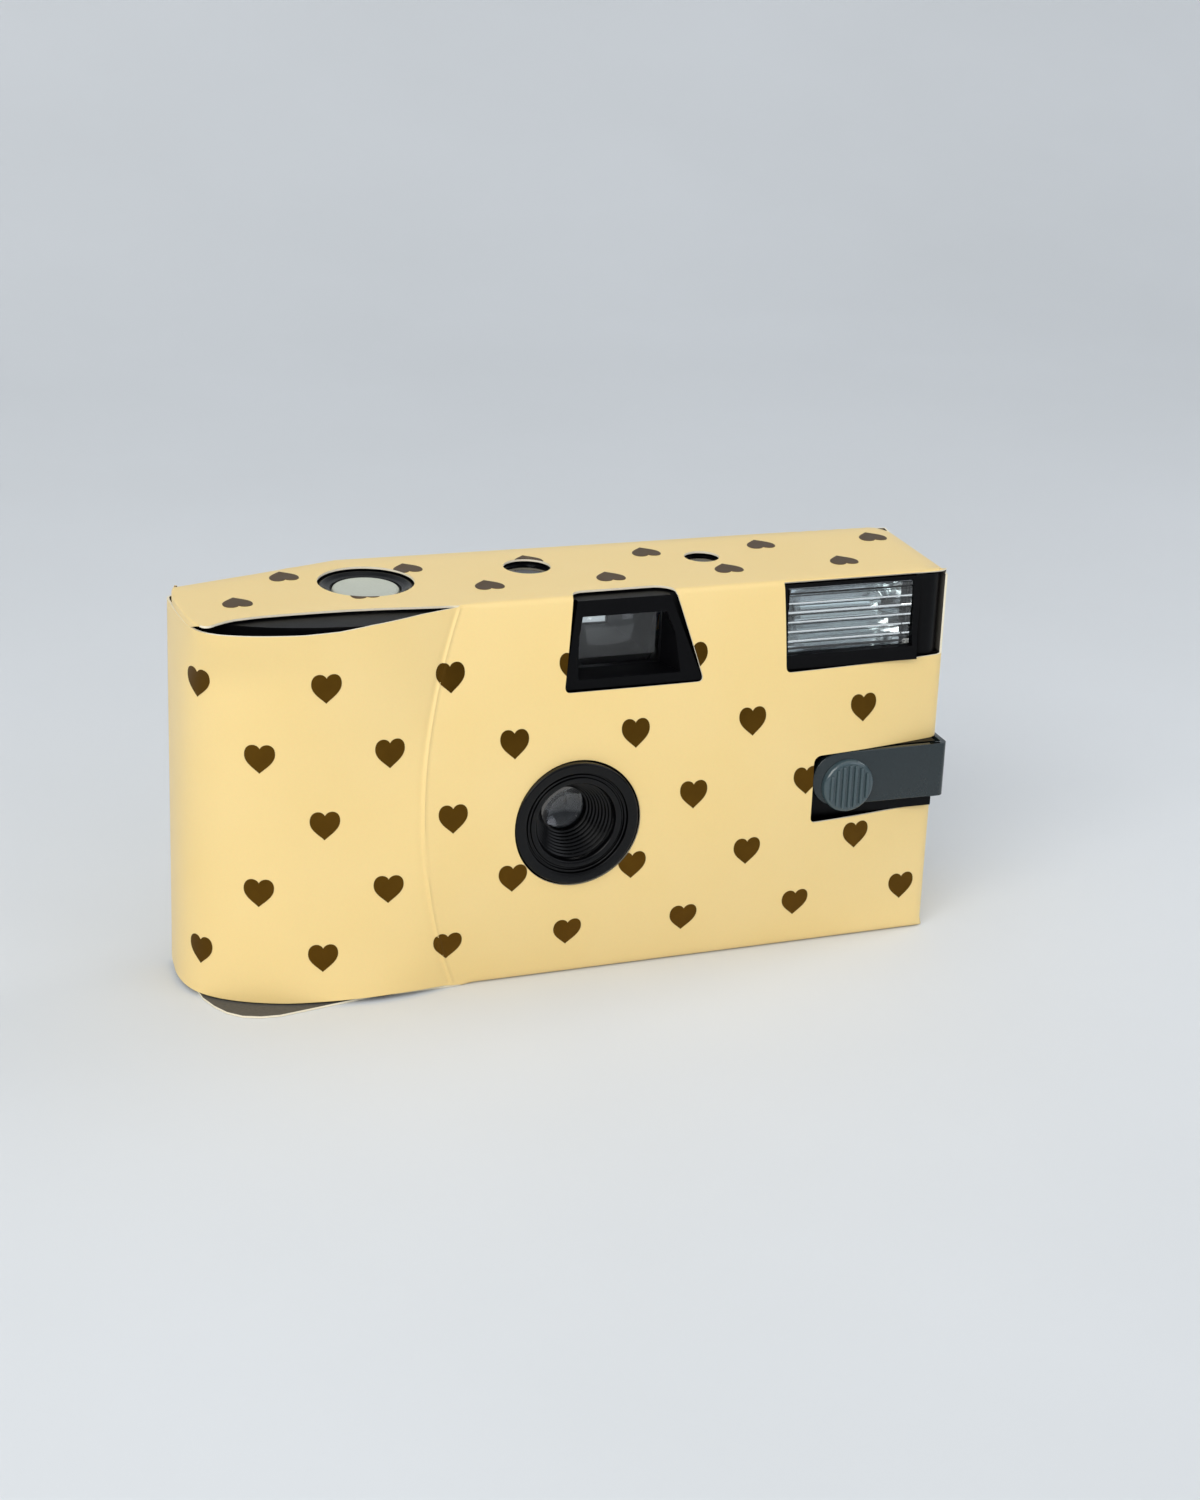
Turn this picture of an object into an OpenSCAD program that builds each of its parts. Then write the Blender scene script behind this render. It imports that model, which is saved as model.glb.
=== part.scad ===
// Disposable film camera in a printed card sleeve.
// Front faces -Y, the grip with the film cassette is at -X, +Z is up.
// The origin is the centre of the bottom of the whole camera.

/* [Overall] */
// Width from the grip end to the end of the flash slider
overall_w = 118.8; // [112:0.2:126]
// Depth from the lens bezel to the back fold
overall_d = 32; // [31.5:0.1:36]
// Height of the card sleeve
overall_h = 59.7; // [58.5:0.1:66]

/* [Sleeve] */
// Thickness of the card
card = 0.5; // [0.3:0.05:0.6]
// Gap between the card and the plastic body
card_gap = 0.2; // [0.1:0.05:0.4]
// How far the front panel bulges over the lens
front_bulge = 4.8; // [3:0.1:4.9]
// How far the top fold of the front panel lies behind the bezel face at the grip
top_fold_back = 6.1; // [5.6:0.1:6.6]
// How much farther back the same fold lies at the right end
top_fold_slant = 0.4; // [0:0.1:0.8]
// How far the bottom fold lies in front of the top fold at the grip
bottom_fold_ahead = 2.3; // [1:0.1:3]
// How far the back panel leans forward at the right end
back_slant = 1.5; // [0:0.1:2]
// Height of the slot over the grip, at the grip end
grip_slot_h = 3.3; // [1:0.1:5]
// Gap between the grip wrap and the bottom panel
grip_foot_gap = 0.8; // [0.6:0.1:2]

/* [Grip] */
// Where the grip meets the front panel
crease_x = -24; // [-25:0.1:-23]
// Where the flank of the grip ends on the top fold
flank_x = -19.7; // [-20.2:0.1:-19.2]
// How far the grip front lies behind the bezel face
grip_back = 1; // [0.6:0.1:1.4]
// Y of the widest point of the grip end
grip_mid_y = 1.6; // [0:0.1:3]
// Squareness of the grip curve, 2 is an ellipse
grip_power = 2.7; // [2.4:0.1:3.2]
// Where the back panel bends toward the grip end
kink_x = -31.3; // [-33:0.1:-30]
// Corner between the grip end and the slanted back panel, in from the grip end
heel_in = 1.2; // [0.8:0.1:2]
// Y of the same corner
heel_y = 7.8; // [7.4:0.1:9]
// Slope along X of the shoulder where the wrap is drawn in to the top fold
shoulder_slope = 0.29; // [0.25:0.01:0.33]
// How far below the top that shoulder reaches on the grip crest
shoulder_drop = 22; // [18:0.5:24]
// Slope along X of the shoulder at the bottom
toe_slope = 0.22; // [0.18:0.01:0.26]
// How far above the bottom that shoulder reaches on the grip crest
toe_rise = 9; // [6:0.5:10]

/* [Body] */
// Wall of the plastic covers
wall = 1; // [0.8:0.05:1.1]
// Y of the joint between the front and rear covers
split_y = 11.6; // [11.55:0.05:11.9]
// Thickness of the chassis plates
plate = 1.2; // [1:0.05:1.3]
// General clearance between fixed pieces
clear = 0.2; // [0.1:0.05:0.25]
// Radial clearance of running shafts
run_clear = 0.05; // [0.02:0.01:0.08]

/* [Lens] */
// X of the lens axis
lens_x = -2.5; // [-3.5:0.1:-1.5]
// Height of the lens axis
lens_z = 26.2; // [26:0.1:27]
// Diameter of the lens bezel
bezel_d = 19.2; // [17:0.1:20]
// Diameter of the bezel body in the front cover
bezel_body_d = 15.8; // [15:0.1:16.4]
// Thickness of the bezel flange
bezel_flange = 1.8; // [1.6:0.1:2.2]
// Number of steps in the bezel
bezel_steps = 6; // [3:1:8]
// Diameter of the taking lens
glass_d = 7; // [6.4:0.1:7.4]
// Thickness of the taking lens
glass_t = 1.5; // [1.2:0.1:1.7]
// Diameter of the aperture
aperture_d = 3.2; // [2.4:0.1:3.6]

/* [Film] */
// Width of the film
film_w = 35; // [34.5:0.1:35.2]
// Thickness of the film
film_t = 0.15; // [0.1:0.01:0.2]
// Width of the picture
frame_w = 36; // [34:0.5:36]
// Height of the picture
frame_h = 24; // [22:0.5:24]
// Pitch of the perforations
perf_pitch = 4.75; // [4.7:0.01:4.8]
// Y of the film
film_y = 10.7; // [10.65:0.01:10.75]
// X of the film cassette
cassette_x = -32.5; // [-32.7:0.1:-32.3]
// Y of the film cassette
cassette_y = 0.7; // [0.6:0.05:0.8]
// Diameter of the film cassette
cassette_d = 25; // [24.4:0.1:25.2]
// Height of the film cassette
cassette_h = 43; // [42:0.1:43.2]
// Distance of the supply spool from the right end of the card
supply_in = 20.5; // [20.2:0.1:20.8]
// Diameter of the unexposed roll
roll_d = 16; // [12:0.1:16.2]
// Diameter of the supply spool core
core_d = 8; // [7:0.1:9]

/* [Controls] */
// X of the shutter button
button_x = -30; // [-31:0.1:-29]
// Y of the shutter button
button_y = 3.9; // [3.4:0.1:4.2]
// Diameter of the shutter button
button_d = 10; // [8:0.1:10.4]
// Diameter of the button hole in the card
button_hole_d = 14.4; // [13.8:0.1:15]
// Travel of the shutter button
button_travel = 1.8; // [1:0.1:1.9]
// Diameter of the thumb wheel
wheel_d = 27; // [26:0.1:27.3]
// Thickness of the thumb wheel
wheel_t = 3.1; // [2.4:0.1:3.2]
// Number of teeth on the thumb wheel
wheel_teeth = 60; // [40:1:72]
// X of the counter hole
counter_x = -4.35; // [-4.6:0.05:-4]
// Y of the counter hole
counter_y = 5.8; // [5.4:0.1:6]
// Diameter of the counter hole
counter_hole_d = 7.2; // [6:0.1:7.6]
// Diameter of the counter dial
dial_d = 16; // [15:0.1:16.2]
// Number of teeth on the counter dial
dial_teeth = 32; // [24:1:40]
// X of the flash-ready hole
lamp_x = 23.5; // [22:0.1:24.5]
// Y of the flash-ready hole
lamp_y = 4.8; // [3:0.1:6]
// Diameter of the flash-ready hole
lamp_hole_d = 5.4; // [5.2:0.1:7]
// Distance of the slider knob from the right end of the card
knob_in = 16.9; // [16:0.1:17.5]
// Height of the slider knob
knob_z = 27.5; // [27:0.1:28]
// Diameter of the slider knob
knob_d = 9.3; // [8:0.1:9.5]
// Travel of the slider, to the right
slider_travel = 5; // [3:0.5:6]
// How far the slider reaches past the card
slider_overhang = 0.4; // [0.2:0.1:1]

/* [Windows] */
// X of the viewfinder axis
finder_x = 5.6; // [5.2:0.1:6]
// Depth of the viewfinder axis below the top
finder_drop = 7.5; // [7.3:0.1:7.6]
// Width of the viewfinder window
finder_w = 13; // [11:0.1:13.4]
// Height of the viewfinder window
finder_h = 8; // [7:0.1:8.2]
// Distance of the flash window's left end from the right end of the card
flash_in = 27.1; // [26.6:0.1:27.4]
// Width of the flash window
flash_w = 20.6; // [18:0.1:21]
// Height of the flash window
flash_h = 9.9; // [9:0.1:10]
// Depth of the bottom of the top windows in the card below the top
window_drop = 13.7; // [13.3:0.1:13.9]
// Radius of the column beside the flash window
column_r = 2.6; // [2:0.1:2.7]

/* [Electrics] */
// Diameter of the battery
cell_d = 10.5; // [10:0.1:10.6]
// Length of the battery without its nub
cell_l = 43.5; // [42.5:0.1:43.6]
// Diameter of the flash capacitor
capacitor_d = 8.4; // [7:0.1:8.5]
// Height of the flash capacitor
capacitor_h = 28; // [20:0.5:29]
// Thickness of the circuit board
board_t = 0.8; // [0.6:0.05:0.85]

/* [Hidden] */
$fn = 48;
eps = 0.05;
far = 100;

// Outer limits of the camera
left_x = -overall_w / 2;
right_x = overall_w / 2 - slider_overhang;
bezel_y = -overall_d / 2;
back_y = overall_d / 2;
top_z = overall_h;

// Places counted from the top and the right end
supply_x = right_x - supply_in;
knob_x = right_x - knob_in;
flash_x = right_x - flash_in;
finder_z = top_z - finder_drop;
window_z = top_z - window_drop;

// Folds of the sleeve
fold_left_y = bezel_y + top_fold_back;
fold_right_y = fold_left_y + top_fold_slant;
foot_left_y = fold_left_y - bottom_fold_ahead;
back_right_y = back_y - back_slant;
grip_front_y = bezel_y + grip_back;
grip_len = crease_x - left_x;
grip_deep = grip_mid_y - grip_front_y;
heel = [left_x + heel_in, heel_y];
kink = [kink_x, back_y];
slot_corner = [left_x + 1.8, fold_left_y - 1.9];
flap_left = [left_x + 2.2, grip_front_y + 7.8];
flap_corner = [left_x + 11.7, bezel_y + 0.2];
flap_fold = [crease_x - 9, foot_left_y - 0.7];

// Body heights and depths
body_in = card + card_gap;
cavity_in = body_in + wall;
floor_z = cavity_in;
ceiling_z = top_z - cavity_in;
roof_z = top_z - body_in;
cavity_front_y = fold_right_y + cavity_in;
front_limit_y = fold_left_y + cavity_in + 0.3;

// Chassis planes
shutter_y = front_limit_y + 2.5;
gate_y = film_y - film_t / 2 - clear;
deck_z = top_z - 13.2;
deck_top_z = deck_z + 1;
partition_x = cassette_x + cassette_d / 2 + 0.6;
aisle_x = partition_x + 1;
supply_y = film_y - film_t / 2 - 0.12 - roll_d / 2;
supply_wall_x = supply_x - 9.5;
supply_end_x = supply_x + 8.9;
supply_front_y = supply_y - 8.5;
film_bottom_z = lens_z - film_w / 2;
film_top_z = lens_z + film_w / 2;

// Film cassette and thumb wheel
cassette_z0 = lens_z - cassette_h / 2;
cassette_z1 = lens_z + cassette_h / 2;
cap_t = 0.5;
shell_r = cassette_d / 2 - 0.25;
chamber_z = cassette_z1 + clear;
chamber_top_z = chamber_z + 0.8;
wheel_z = chamber_top_z + clear;
wheel_top_z = wheel_z + wheel_t;
hub_r = 3.2;
spool_r = 5.75;

// Release lever, between the button and the striker
lever_x = partition_x + 1.9;
button_flange_z = ceiling_z - 0.8;
lever_top_z = button_flange_z - button_travel;
lever_t = 1;
lever_z = lever_top_z - lever_t / 2;
trunnion_r = 1;

// Shutter
lens_seat_y = shutter_y - 0.7;
glass_y = lens_seat_y - 0.8;
blade_y0 = shutter_y - 0.5;
blade_y1 = shutter_y - 0.2;
blade_pivot = [lens_x + 7.5, lens_z + 3];
blade_tab = [lens_x + 6.7, lens_z + 11.3];
blade_pin_r = 0.9;
striker_y0 = shutter_y - 1.5;
striker_y1 = shutter_y - 0.4;
striker_pivot = [lens_x + 1, lens_z + 18];
striker_toe = [lens_x + 4.5, lens_z + 10.6];
striker_tail = [lever_x + 9.5, lever_top_z - 3.4];
striker_pin_r = 1;

// Sprocket and counter
sprocket_teeth = 8;
sprocket_r = sprocket_teeth * perf_pitch / (2 * PI);
sprocket_x = aisle_x + 6;
sprocket_y = gate_y - sprocket_r;
sprocket_z = lens_z + 13.8;
shelf_z = lens_z + 10.7;
shaft_r = 1.5;
dial_z = ceiling_z - 0.9;
dial_t = 0.6;
dial_ring = dial_d / 2 - 2.8;
dial_angle = -25;
dial_x = counter_x + dial_ring * cos(dial_angle);
dial_y = counter_y + dial_ring * sin(dial_angle);
finger_r = norm([dial_x - sprocket_x, dial_y - sprocket_y]) - dial_d / 2 - 0.15;

// Viewfinder tunnel
finder_y0 = shutter_y + 0.2;
finder_y1 = split_y - clear;
eye_w = 8;
eye_h = 5.4;
tunnel_wall = 0.7;

// Flash
column_x = right_x - body_in - column_r;
column_y = fold_right_y + body_in - 0.4 + column_r;
flash_mid_z = top_z - 6.3;
flash_mid_x = flash_x + flash_w / 2;
reflector_y = cavity_front_y + 0.1;

// Slider
slider_bed_y = bezel_y + 4.8;
slider_y1 = slider_bed_y - clear;
slider_y0 = slider_y1 - 1;
slider_z0 = knob_z - 3.9;
slider_z1 = knob_z + 4.8;
slider_x0 = knob_x - 5.3;
slot_open_x = knob_x - 5.7;
slot_open_z0 = knob_z - 6;
slot_open_z1 = slider_z1 + 0.3;

// Electrics
board_y1 = supply_front_y - 0.1 - 0.6;
board_y0 = board_y1 - board_t;
cell_y = front_limit_y + cell_d / 2 + 0.2;
cell_z = floor_z + 0.3 + cell_d / 2;
cell_x0 = aisle_x + 1.6;

function unit(v) = v / norm(v);
function left_of(v) = [-v.y, v.x];
function mix(a, b, t) = a + (b - a) * t;

// Outline moved inward by d, for points that run counter-clockwise
function inset(p, d) = [
  for (i = [0 : len(p) - 1])
    let (
      before = left_of(unit(p[i] - p[(i + len(p) - 1) % len(p)])),
      after = left_of(unit(p[(i + 1) % len(p)] - p[i]))
    )
    p[i] + d * (before + after) / (1 + before * after)
];

function grip_point(t) = [
  crease_x - grip_len * pow(cos(t), 2 / grip_power),
  grip_mid_y - grip_deep * pow(sin(t), 2 / grip_power)
];

grip_curve = [for (t = [0 : 7.5 : 90]) grip_point(t)];
flank_foot = [flank_x, fold_left_y];
sleeve_plan = concat(grip_curve, [
  flank_foot, [right_x, fold_right_y], [right_x, back_right_y], kink, heel
]);
grip_inside = inset(concat(grip_curve, [flank_foot, [flank_x, heel_y], heel]), card);
top_plan = [
  slot_corner, [flank_x, fold_left_y + eps], [right_x, fold_right_y + eps],
  [right_x, back_right_y], kink, mix(heel, kink, 0.06)
];
bottom_plan = [
  flap_left, mix(flap_left, flap_corner, 0.35) + [-0.8, -1], flap_corner, flap_fold,
  [flank_x, foot_left_y + eps], [right_x, fold_right_y + eps], [right_x, back_right_y], kink, heel
];

// Front panel of the card: flat at its folds, bulged over the lens
function fold_line_y(x, y_left) = mix(y_left, fold_right_y, (x - flank_x) / (right_x - flank_x));
function bulge_along_x(x) = 1 - pow(abs(x - lens_x) / (right_x - lens_x), 3);
function bulge_along_z(z) = 1 - pow((z - lens_z) / (z > lens_z ? top_z - lens_z : lens_z), 2);
function front_y(x, z) =
  mix(fold_line_y(x, foot_left_y), fold_line_y(x, fold_left_y), z / top_z)
  - front_bulge * bulge_along_x(x) * bulge_along_z(z);

module block(low, high) {
  translate(low) cube(high - low);
}

module rod_x(y, z, x0, x1, r) {
  translate([x0, y, z]) rotate([0, 90, 0]) cylinder(h = x1 - x0, r = r);
}

module rod_y(x, z, y0, y1, r) {
  translate([x, y0, z]) rotate([-90, 0, 0]) cylinder(h = y1 - y0, r = r);
}

module rod_z(x, y, z0, z1, r) {
  translate([x, y, z0]) cylinder(h = z1 - z0, r = r);
}

module slab(outline, z0, z1) {
  translate([0, 0, z0]) linear_extrude(z1 - z0) polygon(outline);
}

// Prism along Y of an outline in X and Z
module prism_y(outline, y0, y1) {
  translate([0, y1, 0]) rotate([90, 0, 0]) linear_extrude(y1 - y0) polygon(outline);
}

// Prism along X of an outline in Y and Z
module prism_x(outline, x0, x1) {
  translate([x0, 0, 0]) rotate([90, 0, 90]) linear_extrude(x1 - x0) polygon(outline);
}

// Flat link in the X and Z plane, with a round far end
module link_y(p, q, w, y0, y1) {
  run = q - p;
  translate([p.x, y0, p.y]) rotate([0, -atan2(run.y, run.x), 0])
    translate([0, 0, -w / 2]) cube([norm(run), y1 - y0, w]);
  rod_y(q.x, q.y, y0, y1, w / 2 + 0.1);
}

// Toothed disc outline
function toothed(r, depth, count) = [
  for (i = [0 : 2 * count - 1])
    let (a = 180 * i / count, reach = i % 2 == 0 ? r : r - depth)
    reach * [cos(a), sin(a)]
];

// Box that reaches through the slanted back panel at the thumb wheel
module wheel_slot(length, depth, z0, z1) {
  slant = unit(kink - heel);
  foot = [cassette_x, cassette_y] + left_of(slant) * ((heel - [cassette_x, cassette_y]) * left_of(slant));
  translate([foot.x, foot.y, 0]) rotate(atan2(slant.y, slant.x))
    block([-length / 2, -depth, z0], [length / 2, 6, z1]);
}

// Slot for the thumb wheel in the covers, with a shallow recess for the thumb
module wheel_openings() {
  wheel_slot(18, 4, wheel_z - 0.5, wheel_top_z + 0.5);
  wheel_slot(22, body_in + wall / 2, wheel_z - 2, wheel_top_z + 2);
}

finder_hood = [
  [finder_x - 9.8, window_z + 0.2], [finder_x + 12, window_z + 0.2],
  [finder_x + 7.3, roof_z], [finder_x - 7.3, roof_z]
];

// Bulged front panel, one skin on each side of the card
module front_panel() {
  columns = 12;
  rows = 8;
  x0 = crease_x - 1;
  function at(i, j, k) = (k * (columns + 1) + i) * (rows + 1) + j;
  points = [
    for (k = [0, 1], i = [0 : columns], j = [0 : rows])
      let (x = mix(x0, right_x, i / columns), z = top_z * j / rows)
      [x, front_y(x, z) + k * card, z]
  ];
  skins = [
    for (i = [0 : columns - 1], j = [0 : rows - 1])
      each [
        [at(i, j, 0), at(i, j + 1, 0), at(i + 1, j + 1, 0)],
        [at(i, j, 0), at(i + 1, j + 1, 0), at(i + 1, j, 0)],
        [at(i + 1, j + 1, 1), at(i, j + 1, 1), at(i, j, 1)],
        [at(i + 1, j, 1), at(i + 1, j + 1, 1), at(i, j, 1)]
      ]
  ];
  long_edges = [
    for (i = [0 : columns - 1])
      each [
        [at(i, 0, 1), at(i, 0, 0), at(i + 1, 0, 0)],
        [at(i, 0, 1), at(i + 1, 0, 0), at(i + 1, 0, 1)],
        [at(i, rows, 0), at(i, rows, 1), at(i + 1, rows, 1)],
        [at(i, rows, 0), at(i + 1, rows, 1), at(i + 1, rows, 0)]
      ]
  ];
  short_edges = [
    for (j = [0 : rows - 1])
      each [
        [at(0, j, 1), at(0, j + 1, 1), at(0, j + 1, 0)],
        [at(0, j, 1), at(0, j + 1, 0), at(0, j, 0)],
        [at(columns, j, 0), at(columns, j + 1, 0), at(columns, j + 1, 1)],
        [at(columns, j, 0), at(columns, j + 1, 1), at(columns, j, 1)]
      ]
  ];
  difference() {
    polyhedron(points, concat(skins, long_edges, short_edges));
    slab(grip_inside, -1, top_z + 1);
  }
}

// Everything in front of a plane through a point, with slopes along X and Z
module in_front_of(p, slope_x, slope_z, x0, x1, z0, z1) {
  points = [
    for (z = [z0, z1], x = [x0, x1])
      each [[x, -far, z], [x, p.y + slope_x * (x - p.x) + slope_z * (z - p.z), z]]
  ];
  polyhedron(points, [
    [0, 1, 3, 2], [4, 6, 7, 5], [0, 4, 5, 1], [2, 3, 7, 6], [0, 2, 6, 4], [1, 5, 7, 3]
  ]);
}

// Shoulders of the grip, moved inward by a margin
module grip_shoulders(margin) {
  crest = [crease_x, grip_front_y];
  top_anchor = mix(flank_foot, crest, 0.12);
  top_rise = (top_anchor.y + shoulder_slope * (crest.x - top_anchor.x) - crest.y) / shoulder_drop;
  top_margin = margin * norm([1, shoulder_slope, top_rise]);
  in_front_of(
    [top_anchor.x, top_anchor.y + top_margin, top_z], shoulder_slope, top_rise,
    left_x, flank_x, lens_z, top_z + 2
  );
  toe_rate = (foot_left_y + toe_slope * (crest.x - flank_x) - crest.y) / toe_rise;
  toe_margin = margin * norm([1, toe_slope, toe_rate]);
  in_front_of(
    [flank_x, foot_left_y + toe_margin, 0], toe_slope, -toe_rate, left_x, flank_x, -2, lens_z
  );
}

// Plan of the sleeve as a solid, moved inward by a margin, with the grip shoulders drawn in
module drawn_in(margin, z0, z1) {
  difference() {
    slab(inset(sleeve_plan, margin), z0, z1);
    grip_shoulders(margin);
  }
}

// Upright walls of the card: grip wrap, grip end, back and right end
module sleeve_walls() {
  difference() {
    drawn_in(0, 0, top_z);
    drawn_in(card, -1, top_z + 1);
    block([flank_x + card, -far, -1], [right_x - card, fold_right_y + card + 0.5, top_z + 1]);
    block([-far, -far, -1], [flank_x + card, heel_y - 1, grip_foot_gap]);
    prism_y(
      [[-far, top_z - grip_slot_h], [left_x, top_z - grip_slot_h], [flank_x, top_z - card],
       [flank_x, far], [-far, far]],
      -far, heel_y - 1
    );
  }
}

module sleeve_openings() {
  rod_y(lens_x, lens_z, -far, 0, bezel_d / 2 + 0.3);
  prism_y(
    [[finder_x - 10, window_z], [finder_x + 12.2, window_z],
     [finder_x + 7.5, top_z + 1], [finder_x - 7.5, top_z + 1]],
    -far, fold_left_y + 2.5
  );
  block([flash_x - 0.6, -far, window_z], [far, fold_right_y + 2.5, top_z - card]);
  block([slot_open_x, -far, slot_open_z0], [far, fold_right_y + 4, slot_open_z1]);
  rod_z(button_x, button_y, top_z - 3, far, button_hole_d / 2);
  rod_z(counter_x, counter_y, top_z - 3, far, counter_hole_d / 2);
  rod_z(lamp_x, lamp_y, top_z - 3, far, lamp_hole_d / 2);
  block(
    [finder_x - eye_w / 2 - 2, split_y, finder_z - eye_h / 2 - 2],
    [finder_x + eye_w / 2 + 2, far, finder_z + eye_h / 2 + 2]
  );
  wheel_slot(24, 4, wheel_z - 2.4, wheel_top_z + 2.4);
}

module card_sleeve() color("#F0D596") difference() {
  union() {
    slab(top_plan, top_z - card, top_z);
    slab(bottom_plan, 0, card);
    sleeve_walls();
    front_panel();
  }
  sleeve_openings();
}

module body_solid(margin) {
  drawn_in(margin, margin, top_z - margin);
}

boss_face_y = bezel_y + bezel_flange + 0.1;
boss_base_y = fold_left_y + cavity_in;

// Raised field of the front cover round the lens, or its hollow
module lens_boss(margin) {
  translate([lens_x, boss_face_y + margin, lens_z]) rotate([-90, 0, 0])
    cylinder(h = boss_base_y - boss_face_y, r1 = bezel_d / 2 + 0.4 - margin, r2 = bezel_d / 2 + 8 - margin);
}

// Blocks of the front cover round the viewfinder, the flash and the slider
module window_blocks() {
  intersection() {
    prism_y(finder_hood, bezel_y, cavity_front_y);
    prism_x(
      [[cavity_front_y, window_z], [bezel_y + 3.4, window_z],
       [fold_left_y - 0.1, roof_z], [cavity_front_y, roof_z]],
      finder_x - 12, finder_x + 13
    );
  }
  prism_x(
    [[cavity_front_y, window_z + 0.2], [bezel_y + 4.6, window_z + 0.2],
     [fold_left_y + 0.2, roof_z], [cavity_front_y, roof_z]],
    flash_x - 0.5, flash_x + flash_w + 0.8
  );
  intersection() {
    rod_z(column_x, column_y, window_z + 0.2, roof_z, column_r);
    block([0, -far, 0], [far, column_y + 1.2, far]);
  }
  block([slot_open_x - 2, slider_bed_y, slot_open_z0 + 0.2],
        [right_x - body_in - 0.6, cavity_front_y, slot_open_z1 - 0.2]);
}

module window_cuts() {
  difference() {
    block([column_x, -far, window_z + 0.2], [far, column_y, far]);
    rod_z(column_x, column_y, 0, far, column_r);
  }
  hull() {
    prism_y(inset(finder_hood, 0.5), bezel_y - 1, bezel_y - 0.9);
    block([finder_x - finder_w / 2, fold_left_y + 1, finder_z - finder_h / 2],
          [finder_x + finder_w / 2, fold_left_y + 1.05, finder_z + finder_h / 2]);
  }
  block([finder_x - finder_w / 2, fold_left_y, finder_z - finder_h / 2],
        [finder_x + finder_w / 2, 0, finder_z + finder_h / 2]);
  block([flash_x, -far, flash_mid_z - flash_h / 2 - 0.15],
        [flash_x + flash_w, 0, flash_mid_z + flash_h / 2 + 0.15]);
  block([slot_open_x - 1, slider_bed_y + wall, slot_open_z0 + 1.2],
        [right_x - cavity_in - 0.6, 0, slot_open_z1 - 1.2]);
  block([knob_x - 2.6, -far, knob_z - 2.2], [knob_x + 2.6 + slider_travel, 0, knob_z + 2.2]);
  rod_y(lens_x, lens_z, -far, 0, bezel_body_d / 2 + 0.1);
}

module front_cover() color("#151515") difference() {
  union() {
    difference() {
      body_solid(body_in);
      body_solid(cavity_in);
    }
    lens_boss(0);
    window_blocks();
  }
  lens_boss(wall);
  window_cuts();
  block([-far, split_y, -far], [far, far, far]);
  rod_z(button_x, button_y, ceiling_z - 1, far, button_d / 2 + 0.2);
  rod_z(button_x, button_y, roof_z - 0.5, far, button_hole_d / 2 - 0.2);
  rod_z(counter_x, counter_y, ceiling_z - 1, far, counter_hole_d / 2 - 0.15);
  rod_z(lamp_x, lamp_y, ceiling_z - 1, far, lamp_hole_d / 2 - 0.25);
  wheel_openings();
}

module rear_cover() color("#1A1A1A") {
  difference() {
    body_solid(body_in);
    body_solid(cavity_in);
    block([-far, -far, -far], [far, split_y, far]);
    block([finder_x - eye_w / 2, 0, finder_z - eye_h / 2], [finder_x + eye_w / 2, far, finder_z + eye_h / 2]);
    wheel_openings();
  }
  intersection() {
    body_solid(body_in);
    for (z = [film_bottom_z + 1.5, film_top_z - 2.5])
      block([lens_x - frame_w / 2, split_y, z], [lens_x + frame_w / 2, far, z + 1]);
  }
}

// Straight-sided funnel along Y between two half sizes in X and Z
module funnel_y(centre, y0, half0, y1, half1) {
  hull() {
    block([centre.x - half0.x, y0, centre.y - half0.y], [centre.x + half0.x, y0 + eps, centre.y + half0.y]);
    block([centre.x - half1.x, y1 - eps, centre.y - half1.y], [centre.x + half1.x, y1, centre.y + half1.y]);
  }
}

lens_axis = [lens_x, lens_z];
finder_axis = [finder_x, finder_z];

// Plates of the chassis that hold the film cassette
module cassette_chamber() {
  for (z = [[floor_z + 0.3, floor_z + 1.3], [chamber_z, chamber_top_z]]) {
    rod_z(cassette_x, cassette_y, z[0], z[1], cassette_d / 2 - 0.5);
    block([cassette_x, front_limit_y, z[0]], [aisle_x, gate_y, z[1]]);
  }
  block([partition_x, front_limit_y, floor_z + 0.3], [aisle_x, cassette_y + 6, chamber_top_z]);
}

module supply_chamber() {
  block([supply_wall_x, supply_front_y, film_bottom_z - 3.3], [supply_wall_x + 0.8, gate_y - plate, deck_z]);
  block([supply_end_x, supply_front_y, film_bottom_z - 3.3], [supply_end_x + 0.8, gate_y - plate, deck_z]);
  block([supply_wall_x, supply_front_y - 0.6, film_bottom_z - 3.3],
        [supply_end_x + 0.8, supply_front_y, deck_z]);
  block([supply_wall_x, supply_front_y, film_bottom_z - 3.3],
        [supply_end_x + 0.8, gate_y - plate, film_bottom_z - 1.9]);
}

module lever_ears() {
  for (y = [shutter_y - 0.6, sprocket_y + 2]) {
    block([lever_x - 1.6, y, deck_z - 0.2], [lever_x + 1.6, y + plate, lever_z + 1.8]);
  }
}

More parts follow.
